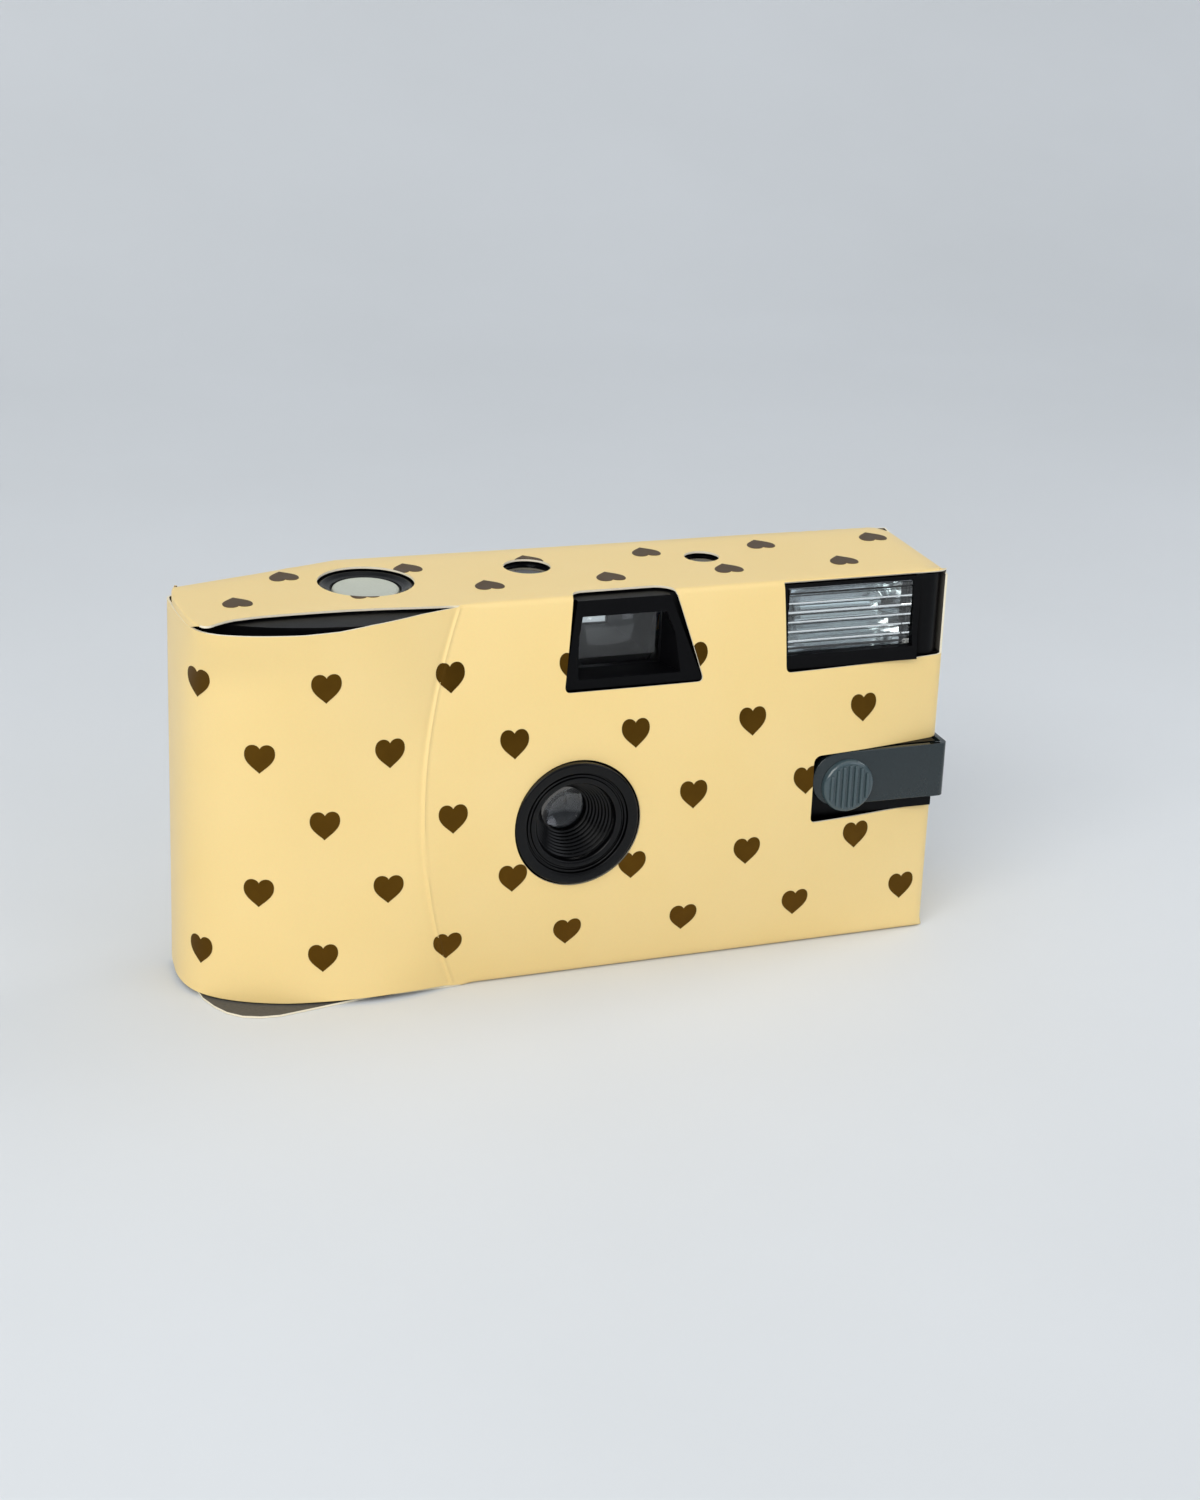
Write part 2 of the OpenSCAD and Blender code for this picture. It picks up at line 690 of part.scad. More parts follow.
module main_frame() color("#202020") difference() {
  union() {
    cassette_chamber();
    supply_chamber();
    lever_ears();
    block([aisle_x - eps, gate_y - plate, 4], [supply_wall_x + 0.8, gate_y, deck_z]);
    block([aisle_x - eps, shutter_y, lens_z - 12], [supply_wall_x, shutter_y + plate, deck_z]);
    block([partition_x, shutter_y + plate - eps, deck_z], [right_x - cavity_in - 0.3, gate_y, deck_top_z]);
    funnel_y(lens_axis, shutter_y, [4, 3.5], gate_y, [frame_w / 2 + 0.8, frame_h / 2 + 0.8]);
    block([aisle_x - eps, sprocket_y - 4.5, shelf_z], [sprocket_x + 4, gate_y, shelf_z + 1.4]);
    funnel_y(finder_axis, finder_y0, [finder_w / 2 + tunnel_wall, finder_h / 2 + tunnel_wall],
             finder_y1, [eye_w / 2 + tunnel_wall, eye_h / 2 + tunnel_wall]);
    block([finder_x - finder_w / 4, shutter_y + plate, deck_z],
          [finder_x + finder_w / 4, gate_y, finder_z - eye_h / 2]);
    rod_z(dial_x, dial_y, finder_z + eye_h / 2, dial_z + dial_t, 1);
    rod_y(striker_pivot.x, striker_pivot.y, shutter_y - 2.4, shutter_y + eps, striker_pin_r);
    rod_y(blade_pivot.x, blade_pivot.y, shutter_y - 2.4, shutter_y + eps, blade_pin_r);
    for (p = [[-7.6, -7.6], [4, -7.6], [-7.6, 7.6]])
      rod_y(lens_x + p.x, lens_z + p.y, lens_seat_y, shutter_y + eps, 1.2);
  }
  funnel_y(lens_axis, shutter_y + 0.6, [3, 2.5], gate_y + eps, [frame_w / 2, frame_h / 2]);
  rod_y(lens_x, lens_z, shutter_y - 1, shutter_y + 2, 2.2);
  funnel_y(finder_axis, finder_y0 - 2 * eps, [finder_w / 2, finder_h / 2],
           finder_y1 + 2 * eps, [eye_w / 2, eye_h / 2]);
  rod_z(cassette_x, cassette_y, chamber_z - 1, chamber_top_z + 1, hub_r + run_clear);
  rod_z(sprocket_x, sprocket_y, shelf_z - 1, shelf_z + 2, trunnion_r + run_clear);
  rod_z(sprocket_x, sprocket_y, deck_z - 1, deck_top_z + 1, shaft_r + run_clear);
  rod_z(sprocket_x, sprocket_y, sprocket_z - 0.4, sprocket_z + 2.9, sprocket_r + 0.5);
  rod_z(supply_x, supply_y, film_bottom_z - 4, film_bottom_z - 1, shaft_r + run_clear);
  rod_z(supply_x, supply_y, deck_z - 1, deck_top_z + 1, shaft_r + run_clear);
  rod_y(lever_x, lever_z, shutter_y - 1, gate_y, trunnion_r + run_clear);
}

// Stepped cone that narrows to the glass
module lens_bezel() color("#101010") {
  depth = glass_y - glass_t - 0.3 - bezel_y;
  rise = depth / bezel_steps;
  wide = bezel_body_d / 2 - 0.7;
  narrow = glass_d / 2 - 0.4;
  steps = [
    for (i = [0 : bezel_steps - 1])
      let (r = mix(wide, narrow, i / (bezel_steps - 1)))
      each [[r, i * rise], [r, (i + 1) * rise]]
  ];
  translate([lens_x, bezel_y, lens_z]) rotate([-90, 0, 0]) rotate_extrude() polygon(concat(
    [[bezel_d / 2 - 0.4, 0]], steps,
    [[bezel_body_d / 2, depth], [bezel_body_d / 2, bezel_flange]],
    [[bezel_d / 2, bezel_flange], [bezel_d / 2, 0.4]]
  ));
}

module taking_lens() color("#B8C8CC") {
  translate([lens_x, glass_y, lens_z]) rotate([90, 0, 0]) difference() {
    cylinder(h = glass_t, r = glass_d / 2);
    translate([0, 0, -glass_d * 1.4 + 0.5]) sphere(r = glass_d * 1.4);
  }
}

// Plate with the lens cup and the aperture
module lens_retainer() color("#181818") difference() {
  union() {
    block([lens_x - 9, glass_y, lens_z - 9], [lens_x + 5.9, lens_seat_y, lens_z + 9]);
    rod_y(lens_x, lens_z, glass_y - glass_t, glass_y + eps, glass_d / 2 + 1.2);
  }
  rod_y(lens_x, lens_z, glass_y - glass_t - 1, glass_y, glass_d / 2 + run_clear);
  rod_y(lens_x, lens_z, glass_y - 1, lens_seat_y + 1, aperture_d / 2);
}

module shutter_blade() color("#3A3A3C") difference() {
  union() {
    rod_y(lens_x, lens_z, blade_y0, blade_y1, aperture_d / 2 + 1);
    link_y(lens_axis, blade_pivot, 2.4, blade_y0, blade_y1);
    link_y(blade_pivot, blade_tab, 1.6, blade_y0, blade_y1);
    rod_y(blade_pivot.x, blade_pivot.y, blade_y0, blade_y1, 1.8);
  }
  rod_y(blade_pivot.x, blade_pivot.y, blade_y0 - 1, blade_y1 + 1, blade_pin_r + run_clear);
}

// Coil of a torsion spring on a pin along Y
module pin_coil(p, pin_r, y0, y1) {
  difference() {
    rod_y(p.x, p.y, y0, y1, pin_r + 0.55);
    rod_y(p.x, p.y, y0 - 1, y1 + 1, pin_r + 0.15);
  }
}

module blade_spring() color("#C9CCCE") {
  pin_coil(blade_pivot, blade_pin_r, shutter_y - 2.3, shutter_y - 0.8);
  block([blade_pivot.x + 0.2, shutter_y - 1.1, blade_pivot.y + blade_pin_r + 0.2],
        [blade_pivot.x + 6, shutter_y - 0.8, blade_pivot.y + blade_pin_r + 0.5]);
}

module shutter_striker() color("#D8D2C4") difference() {
  union() {
    link_y(striker_pivot, striker_toe, 1.6, striker_y0, striker_y1);
    link_y(striker_pivot, striker_tail, 1.6, striker_y0, striker_y1);
    rod_y(striker_pivot.x, striker_pivot.y, striker_y0, striker_y1, 2.2);
  }
  rod_y(striker_pivot.x, striker_pivot.y, striker_y0 - 1, striker_y1 + 1, striker_pin_r + run_clear);
}

module striker_spring() color("#C9CCCE") {
  pin_coil(striker_pivot, striker_pin_r, shutter_y - 2.3, striker_y0 - 0.2);
  block([striker_pivot.x + 0.2, striker_y0 - 0.5, striker_pivot.y - striker_pin_r - 0.5],
        [striker_pivot.x + 6, striker_y0 - 0.2, striker_pivot.y - striker_pin_r - 0.2]);
}

// Rocker: its pad lies under the button, its hook over the striker's tail
module release_lever() color("#D8D2C4") {
  low = lever_top_z - lever_t;
  hook_x0 = striker_tail.x - 3;
  hook_x1 = striker_tail.x - 1;
  rod_z(button_x, button_y, low, lever_top_z, 2.5);
  block([button_x, button_y - 1.5, low], [lever_x, button_y + 1.5, lever_top_z]);
  rod_y(lever_x, lever_z, shutter_y + 0.8, sprocket_y + 1.8, 1.5);
  rod_y(lever_x, lever_z, shutter_y - 0.4, sprocket_y + 3, trunnion_r);
  block([lever_x, shutter_y + 1, low], [hook_x1, shutter_y + 3.4, lever_top_z]);
  block([hook_x0, striker_y0, low], [hook_x1, shutter_y + 3.4, lever_top_z]);
  block([hook_x0, striker_y0, striker_tail.y + 1.2], [hook_x1, striker_y1, lever_top_z]);
}

module release_spring() color("#C9CCCE") {
  pin_coil([lever_x, lever_z], 1.5, -0.8, 0.8);
  block([lever_x - 0.25, -0.25, deck_top_z], [lever_x + 0.25, 0.25, lever_z - 1.75]);
}

module shutter_button() color("#C9CCC4") {
  rod_z(button_x, button_y, button_flange_z, roof_z - 0.2, button_d / 2);
  rod_z(button_x, button_y, button_flange_z, ceiling_z - 0.1, button_d / 2 + 0.8);
  rod_z(button_x, button_y, lever_top_z + 0.2, button_flange_z, 0.8);
}

module thumb_wheel() color("#1C1C1C") {
  translate([cassette_x, cassette_y, wheel_z]) linear_extrude(wheel_t)
    polygon(toothed(wheel_d / 2, 0.5, wheel_teeth));
  rod_z(cassette_x, cassette_y, cassette_z1 - 0.4, wheel_z, hub_r);
  rod_z(cassette_x, cassette_y, cassette_z1 - 3.4, wheel_z, 2.4);
}

module cassette_lip(z0, z1) {
  lip_x0 = cassette_x + shell_r * 0.45;
  lip_x1 = lens_x - frame_w / 2 - 1.1;
  for (y = [film_y - 0.75, film_y + 0.3])
    block([lip_x0, y, z0], [lip_x1, y + 0.45, z1]);
}

module cassette_shell() color("#2E3338") difference() {
  z0 = cassette_z0 + cap_t;
  z1 = cassette_z1 - cap_t;
  union() {
    rod_z(cassette_x, cassette_y, z0, z1, shell_r);
    cassette_lip(z0 + 1.6, z1 - 1.6);
  }
  rod_z(cassette_x, cassette_y, z0 - 1, z1 + 1, shell_r - 0.3);
  block([cassette_x, film_y - 0.3, z0 + 1.6], [far, film_y + 0.3, z1 - 1.6]);
}

// Crimped end cap: a plate with a skirt
module cassette_cap(z_plate, z_skirt) {
  difference() {
    rod_z(cassette_x, cassette_y, min(z_plate, z_skirt), max(z_plate, z_skirt), cassette_d / 2);
    rod_z(cassette_x, cassette_y, min(z_plate, z_skirt) - (z_skirt < z_plate ? 1 : -cap_t),
          max(z_plate, z_skirt) + (z_skirt < z_plate ? -cap_t : 1), shell_r);
    rod_z(cassette_x, cassette_y, -far, far, spool_r + 0.2);
  }
}

module cassette_top_cap() color("#3C4248") cassette_cap(cassette_z1, cassette_z1 - 1.8);

module cassette_bottom_cap() color("#3C4248") cassette_cap(cassette_z0, cassette_z0 + 1.8);

module cassette_felt() color("#0C0C0C") {
  x0 = cassette_x + shell_r * 0.7;
  x1 = lens_x - frame_w / 2 - 1.4;
  for (y = [film_y - 0.3, film_y + film_t / 2 + eps])
    block([x0, y, cassette_z0 + 2.4], [x1, y + 0.3 - film_t / 2 - eps, cassette_z1 - 2.4]);
}

module cassette_spool() color("#141414") difference() {
  union() {
    rod_z(cassette_x, cassette_y, floor_z + 1.5, cassette_z1 - 0.1, spool_r);
    for (z = [cassette_z0 + 2, cassette_z1 - 3])
      rod_z(cassette_x, cassette_y, z, z + 1, shell_r - 1);
  }
  rod_z(cassette_x, cassette_y, cassette_z1 - 4, cassette_z1 + 1, 2.5);
  rod_z(cassette_x, cassette_y, cassette_z1 - 0.5, cassette_z1 + 1, hub_r + 0.1);
}

film_x0 = cassette_x + shell_r * 0.5;

module film_strip() color("#7A4B34") difference() {
  block([film_x0, film_y - film_t / 2, film_bottom_z], [supply_x, film_y + film_t / 2, film_top_z]);
  for (x = [lens_x - 4 * perf_pitch : perf_pitch : supply_x - perf_pitch])
    for (z = [film_bottom_z + 2, film_top_z - 4.8])
      block([x, -far, z], [x + 2, far, z + 2.8]);
}

module film_roll() color("#7A4B34") difference() {
  rod_z(supply_x, supply_y, film_bottom_z, film_top_z, roll_d / 2);
  rod_z(supply_x, supply_y, 0, far, core_d / 2 + 0.05);
}

module supply_spool() color("#161616") {
  rod_z(supply_x, supply_y, film_bottom_z - 1.7, deck_z - 1.3, core_d / 2);
  for (z = [film_bottom_z - 1.7, film_top_z + 0.4])
    rod_z(supply_x, supply_y, z, z + 0.9, roll_d / 2);
  rod_z(supply_x, supply_y, film_bottom_z - 3.2, deck_top_z, shaft_r);
}

module sprocket_shaft() color("#D8D2C4") {
  rod_z(sprocket_x, sprocket_y, shelf_z, sprocket_z, trunnion_r);
  rod_z(sprocket_x, sprocket_y, shelf_z + 1.6, sprocket_z, 2);
  translate([sprocket_x, sprocket_y, sprocket_z]) linear_extrude(2.5)
    polygon(toothed(sprocket_r - 0.05, 0.7, sprocket_teeth * 2));
  rod_z(sprocket_x, sprocket_y, sprocket_z, dial_z + dial_t, shaft_r);
  block([sprocket_x - finger_r, sprocket_y - 0.5, dial_z], [sprocket_x, sprocket_y + 0.5, dial_z + dial_t]);
}

// Disc with one notch that stops the wheel after each picture
module metering_cam() color("#D8D2C4") difference() {
  rod_z(sprocket_x, sprocket_y, deck_top_z + 0.6, deck_top_z + 2, 3.5);
  rod_z(sprocket_x, sprocket_y, 0, far, shaft_r + 0.05);
  block([sprocket_x + 2.2, sprocket_y - 0.8, 0], [far, sprocket_y + 0.8, far]);
}

module counter_dial() color("#E8E4D8") translate([dial_x, dial_y, dial_z]) difference() {
  linear_extrude(dial_t) polygon(toothed(dial_d / 2, 0.6, dial_teeth));
  translate([0, 0, -1]) cylinder(h = dial_t + 2, r = 1 + run_clear);
}

module counter_window() color("#AAB4B8")
  rod_z(counter_x, counter_y, ceiling_z, roof_z - 0.2, counter_hole_d / 2 - 0.2);

module viewfinder_objective() color("#AAB4B8")
  block([finder_x - finder_w / 2 - 0.7, front_limit_y + 0.2, finder_z - finder_h / 2 - 0.6],
        [finder_x + finder_w / 2 + 0.7, finder_y0 - 0.1, finder_z + finder_h / 2 + 0.6]);

module viewfinder_eyepiece() color("#AAB4B8")
  block([finder_x - eye_w / 2 - 0.8, split_y, finder_z - eye_h / 2 - 0.8],
        [finder_x + eye_w / 2 + 0.8, split_y + 1.7, finder_z + eye_h / 2 + 0.8]);

module flash_lens() color("#C4CCD0") difference() {
  block([flash_x + 0.15, fold_left_y - 0.1, flash_mid_z - flash_h / 2],
        [flash_x + flash_w - 0.15, reflector_y - 0.2, flash_mid_z + flash_h / 2]);
  for (i = [-2.5 : 2.5])
    block([flash_x + 1, reflector_y - 0.5, flash_mid_z + i * 1.5 - 0.3],
          [flash_x + flash_w - 1, 0, flash_mid_z + i * 1.5 + 0.3]);
}

tube_y = reflector_y + 2.4;
tube_r = 1.3;

module flash_reflector() color("#D8DADC") difference() {
  block([flash_x + 1, reflector_y, deck_top_z + 0.3],
        [flash_x + flash_w - 1, reflector_y + 5.2, flash_mid_z + 4.8]);
  rod_x(reflector_y, flash_mid_z, flash_x + 2.2, flash_x + flash_w - 2.2, 4.4);
  rod_x(tube_y, flash_mid_z, 0, far, tube_r + 0.1);
}

module flash_tube() color("#D0D8DC")
  rod_x(tube_y, flash_mid_z, flash_x + 0.2, flash_x + flash_w - 0.2, tube_r);

board_x1 = right_x - cavity_in - 0.3;

module flash_board() color("#3B6B3F")
  block([supply_wall_x + 0.5, board_y0, 4], [board_x1, board_y1, deck_z - 0.5]);

right_bay_x = (supply_end_x + 0.8 + board_x1) / 2;

module flash_capacitor() color("#26282C") {
  rod_z(right_bay_x, board_y1 + 9.6, 4.5, 4.5 + capacitor_h, capacitor_d / 2);
  for (x = [-1.5, 1.5])
    rod_z(right_bay_x + x, board_y1 + 9.6, 4.5 + capacitor_h, 6.5 + capacitor_h, 0.35);
}

module flash_transformer() color("#8A5A2A")
  block([right_bay_x - 4.2, board_y1, deck_z - 10.5], [right_bay_x + 4.2, board_y1 + 4.8, deck_z - 1.5]);

module trigger_coil() color("#9A6A35") rod_z(right_bay_x, board_y1 + 2.5, lens_z - 1, lens_z + 7, 2.4);

module board_components() color("#1E1E20") {
  block([right_bay_x - 2.2, board_y1, lens_z - 12], [right_bay_x + 2.2, board_y1 + 3.5, lens_z - 7.5]);
  for (z = [lens_z - 20, lens_z - 17.2, lens_z - 14.4])
    rod_x(board_y1 + 0.95, z, right_bay_x - 3, right_bay_x + 3, 0.9);
}

module ready_lamp() color("#E8B070") {
  rod_z(lamp_x, lamp_y, deck_top_z + 0.8, deck_top_z + 5, 1.9);
  for (x = [-0.8, 0.8])
    rod_z(lamp_x + x, lamp_y, deck_top_z, deck_top_z + 1, 0.3);
}

module lamp_light_pipe() color("#D8DCDC") {
  rod_z(lamp_x, lamp_y, deck_top_z + 5.3, roof_z - 0.1, lamp_hole_d / 2 - 0.3);
  rod_z(lamp_x, lamp_y, ceiling_z - 1, ceiling_z - 0.1, lamp_hole_d / 2 + 0.4);
}

module flash_slider() color("#38464A") {
  block([slider_x0, slider_y0, slider_z0], [overall_w / 2, slider_y1, slider_z1]);
  block([overall_w / 2 - 0.8, slider_y0, slider_z0], [overall_w / 2, slider_y1 + 5, slider_z1]);
  rod_y(knob_x, knob_z, slider_y0 - 1.4, slider_y1, knob_d / 2);
  block([knob_x - 2.2, slider_y1 - eps, knob_z - 1.8],
        [knob_x + 2.2, slider_bed_y + wall + 0.2, knob_z + 1.8]);
}

module slider_contact() color("#C58B4A") {
  back = slider_bed_y + wall + 0.2;
  block([knob_x - 4, back, knob_z - 3], [knob_x + 4, back + 0.3, knob_z + 3]);
  for (z = [-2, 2])
    block([knob_x - 3, back + 0.2, knob_z + z - 0.5], [knob_x - 2, board_y0 - 0.2, knob_z + z + 0.5]);
}

module sync_contacts() color("#C58B4A")
  for (z = [lens_z + 11, lens_z + 13.5])
    block([lens_x + 15, shutter_y - 0.4, z], [lens_x + 23, shutter_y, z + 1.6]);

module battery_cell() color("#B08840") {
  rod_x(cell_y, cell_z, cell_x0, cell_x0 + cell_l, cell_d / 2);
  rod_x(cell_y, cell_z, cell_x0 - 1, cell_x0, 1.9);
}

module battery_contact_positive() color("#C8CACC")
  block([aisle_x, cell_y - 4, cell_z - 4], [cell_x0 - 1, cell_y + 4, cell_z + 4]);

module battery_contact_negative() color("#C8CACC") {
  block([supply_wall_x - 0.4, cell_y - 4, cell_z - 4], [supply_wall_x, cell_y + 4, cell_z + 4]);
  translate([cell_x0 + cell_l, cell_y, cell_z]) rotate([0, 90, 0])
    cylinder(h = supply_wall_x - 0.4 - cell_x0 - cell_l, r1 = 2, r2 = 3.4);
}

card_sleeve();
front_cover();
rear_cover();
main_frame();
lens_bezel();
taking_lens();
lens_retainer();
shutter_blade();
blade_spring();
shutter_striker();
striker_spring();
release_lever();
release_spring();
shutter_button();
thumb_wheel();
cassette_shell();
cassette_top_cap();
cassette_bottom_cap();
cassette_felt();
cassette_spool();
film_strip();
film_roll();
supply_spool();
sprocket_shaft();
metering_cam();
counter_dial();
counter_window();
viewfinder_objective();
viewfinder_eyepiece();
flash_lens();
flash_reflector();
flash_tube();
flash_board();
flash_capacitor();
flash_transformer();
trigger_coil();
board_components();
ready_lamp();
lamp_light_pipe();
flash_slider();
slider_contact();
sync_contacts();
battery_cell();
battery_contact_positive();
battery_contact_negative();
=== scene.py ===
# %% [markdown]
# # A disposable film camera in its card sleeve
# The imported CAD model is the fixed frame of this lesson: it says where every piece is and how it
# moves. Here each surface that shows gets the shape and the finish of the real thing. All numbers
# are millimetres in the CAD frame: the front faces -Y, the grip is at -X, and +Z is up.

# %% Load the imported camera
import math

import bmesh
import bpy
import numpy as np
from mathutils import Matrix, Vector
from mathutils.geometry import delaunay_2d_cdt


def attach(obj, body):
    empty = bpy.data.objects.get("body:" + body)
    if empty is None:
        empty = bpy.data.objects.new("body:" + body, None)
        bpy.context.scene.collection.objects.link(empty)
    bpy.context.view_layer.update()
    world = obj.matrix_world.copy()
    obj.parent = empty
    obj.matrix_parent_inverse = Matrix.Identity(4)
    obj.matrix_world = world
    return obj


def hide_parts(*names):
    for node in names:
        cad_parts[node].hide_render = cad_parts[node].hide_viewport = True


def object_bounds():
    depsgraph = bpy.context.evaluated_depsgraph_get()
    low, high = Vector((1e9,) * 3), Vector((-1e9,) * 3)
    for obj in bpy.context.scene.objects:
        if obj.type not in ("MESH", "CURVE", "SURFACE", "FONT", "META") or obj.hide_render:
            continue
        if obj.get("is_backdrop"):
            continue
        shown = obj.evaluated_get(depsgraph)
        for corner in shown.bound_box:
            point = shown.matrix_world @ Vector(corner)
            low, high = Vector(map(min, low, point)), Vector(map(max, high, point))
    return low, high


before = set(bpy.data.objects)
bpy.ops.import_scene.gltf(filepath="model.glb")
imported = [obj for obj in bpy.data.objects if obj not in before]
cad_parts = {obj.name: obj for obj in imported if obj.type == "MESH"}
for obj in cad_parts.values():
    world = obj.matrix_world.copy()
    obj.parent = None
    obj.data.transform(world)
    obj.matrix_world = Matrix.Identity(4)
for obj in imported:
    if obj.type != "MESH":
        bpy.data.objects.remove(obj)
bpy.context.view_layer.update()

MM = 0.001

# %% [markdown]
# ## Camera
# The picture was taken from the left and from above with a longish lens. The view could be set by
# eye, but the printed hearts lie on a known grid, so place, turn and focal length were solved from
# them. The frame is 1200 by 1500, and the sensor's 36 mm lie along its long side.

# %% Camera
lens_data = bpy.data.cameras.new("view")
lens_data.lens = 76.335
lens_data.sensor_width = 36
viewer = bpy.data.objects.new("view", lens_data)
viewer.location = Vector((-152.853, -426.648, 204.075)) * MM
viewer.rotation_euler = [math.radians(a) for a in (69.2007, -2.3058, -19.6037)]
lens_data.clip_start, lens_data.clip_end = 0.01, 20
bpy.context.scene.collection.objects.link(viewer)
bpy.context.scene.camera = viewer
bpy.context.scene.view_settings.view_transform = "Standard"
print("camera at", [round(c, 3) for c in viewer.location], "lens", lens_data.lens)

# %% [markdown]
# ## Small helpers
# Colours are written as sRGB hex codes, as a paint chart has them, and turned to the linear values
# that shaders use. One function adds a shader node with its settings and links. The others name
# the layers that come back in most materials: a cloud pattern, two colours mixed by it, a gloss
# that varies with it and a fine relief.

# %% Helpers for materials
def linear(code):
    parts = [int(code[i:i + 2], 16) / 255 for i in (1, 3, 5)]
    return [c / 12.92 if c <= 0.04045 else ((c + 0.055) / 1.055) ** 2.4 for c in parts] + [1]


def add(tree, kind, settings=None, links=None):
    made = tree.nodes.new(kind)
    for key, value in (settings or {}).items():
        if isinstance(key, str) and hasattr(made, key):
            setattr(made, key, value)
        else:
            made.inputs[key].default_value = value
    for key, (source, output) in (links or {}).items():
        tree.links.new(source.outputs[output], made.inputs[key])
    return made


def new_material(name, settings):
    material = bpy.data.materials.new(name)
    material.use_nodes = True
    tree = material.node_tree
    tree.nodes.clear()
    shader = add(tree, "ShaderNodeBsdfPrincipled", settings)
    add(tree, "ShaderNodeOutputMaterial", None, {"Surface": (shader, "BSDF")})
    place = add(tree, "ShaderNodeTexCoord")
    return material, tree, shader, place


def noise(tree, place, size_mm, detail=2):
    """A cloud pattern with waves of size_mm."""
    return add(tree, "ShaderNodeTexNoise", {"Scale": 1 / (size_mm * MM), "Detail": detail},
               {"Vector": (place, "Object")})


def blend(tree, pattern, dark, light, output="Fac"):
    """Two colours mixed by a pattern."""
    return add(tree, "ShaderNodeMix", {"data_type": "RGBA", 6: linear(dark), 7: linear(light)},
               {0: (pattern, output)})


def gloss(tree, pattern, low, high):
    """A roughness that varies with a pattern."""
    return add(tree, "ShaderNodeMapRange", {"To Min": low, "To Max": high}, {"Value": (pattern, "Fac")})


def relief(tree, pattern, strength, depth_mm):
    """A fine bump drawn by a pattern."""
    return add(tree, "ShaderNodeBump", {"Strength": strength, "Distance": depth_mm * MM},
               {"Height": (pattern, "Fac")})


def feed(tree, shader, colour=None, rough=None, bump=None):
    """Links colour, roughness and bump to the shader."""
    for made, output, socket in ((colour, 2, "Base Color"), (rough, "Result", "Roughness"),
                                 (bump, "Normal", "Normal")):
        if made is not None:
            tree.links.new(made.outputs[output], shader.inputs[socket])


print("cream", [round(c, 3) for c in linear("#F0D596")])

# %% [markdown]
# ## Coated card
# The sleeve is thin bleached board, printed cream and varnished. The eye sees an even, warm
# surface with a soft gloss. A flat colour would look like paint, so faint fibre clouds vary the
# ink, and a fine bump breaks the gloss. Board fibres are about 0.03 mm wide, too fine for the
# render, so they are drawn ten times coarser.

# %% Coated card
coated_card, tree, shader, place = new_material("coated_bleached_board", {
    "IOR": 1.5, "Coat Weight": 0.4, "Coat Roughness": 0.35, "Coat IOR": 1.5})
cloud, fibre = noise(tree, place, 18, 3), noise(tree, place, 0.35)
ink = blend(tree, cloud, "#F1D187", "#F5D896")
fleck = add(tree, "ShaderNodeMix", {"data_type": "RGBA", "blend_type": "MULTIPLY", 0: 0.05},
            {6: (ink, 2), 7: (fibre, "Color")})
feed(tree, shader, fleck, gloss(tree, fibre, 0.44, 0.56), relief(tree, fibre, 0.10, 0.03))
print("material", coated_card.name)

# %% [markdown]
# ## Board core
# Where the board is cut there is no print: the bleached fibres show white and matt.

# %% Board core
board_core, tree, shader, place = new_material("bleached_board_core", {"Roughness": 0.9, "IOR": 1.45})
fibre = noise(tree, place, 0.3, 3)
feed(tree, shader, blend(tree, fibre, "#E2D8BF", "#F3EBD6"), None, relief(tree, fibre, 0.3, 0.04))
print("material", board_core.name)

# %% [markdown]
# ## Board back
# The inside of the board is not coated: it is pressed from recycled pulp and looks grey. Here its grey
# is set much darker to paint the shade that falls on it under the wrap. It shows only at the bottom flap and
# in the slots.

# %% Board back
# Painted shade: the grey back is darkened for the shade that falls on it under the wrap.
grey_back_painted_shade, tree, shader, place = new_material("grey_back_darkened_painted_shade", {"Roughness": 0.95, "IOR": 1.45})
feed(tree, shader, blend(tree, noise(tree, place, 0.5, 4), "#4A4741", "#635F57"))
print("material", grey_back_painted_shade.name)

# %% [markdown]
# ## Stamping foil
# The hearts are hot-stamped in dark gold foil: a vapour-coated metal film under a tinted lacquer.
# It mirrors the room softly, so it is a metal of low roughness whose tint is the lacquer's brown.
# Small unevenness of the board under it makes the mirror cloudy.

# %% Stamping foil
foil, tree, shader, place = new_material("hot_stamped_gold_foil", {"Metallic": 1})
haze, grain = noise(tree, place, 2.2, 4), noise(tree, place, 0.35)
feed(tree, shader, blend(tree, haze, "#5B4013", "#6C4C18"), gloss(tree, haze, 0.3, 0.42),
     relief(tree, grain, 0.12, 0.03))
print("material", foil.name)

# %% [markdown]
# ## Moulded plastics
# The body is black impact polystyrene from a spark-eroded mould, which leaves a fine even grain
# that sparkles a little at grazing light. The same recipe serves the other mouldings: only the
# colour, the gloss and the grain differ. Grain of 0.05 mm is drawn at 0.15 mm so that it shows.

# %% Moulded plastics
def moulded(name, dark, light, rough, grain_mm, depth, ior=1.59, shine=0.5):
    material, tree, shader, place = new_material(name, {"IOR": ior, "Specular IOR Level": shine})
    grain, flow = noise(tree, place, grain_mm), noise(tree, place, 9)
    feed(tree, shader, blend(tree, grain, dark, light), gloss(tree, flow, rough - 0.05, rough + 0.05),
         relief(tree, grain, depth, 0.05))
    return material


# Black mouldings that show: the body sparkles a little, and the rings shine.
black_body = moulded("grained_black_polystyrene", "#020203", "#060608", 0.36, 0.15, 0.4, 1.5, 0.13)
black_smooth = moulded("smooth_black_polystyrene", "#020203", "#050506", 0.2, 0.3, 0.12, 1.5, 0.24)
# Coloured mouldings that a finger touches: an even colour and a handled gloss.
slate_abs = moulded("slate_abs", "#182225", "#202B2E", 0.14, 0.25, 0.06, 1.53, 0.5)
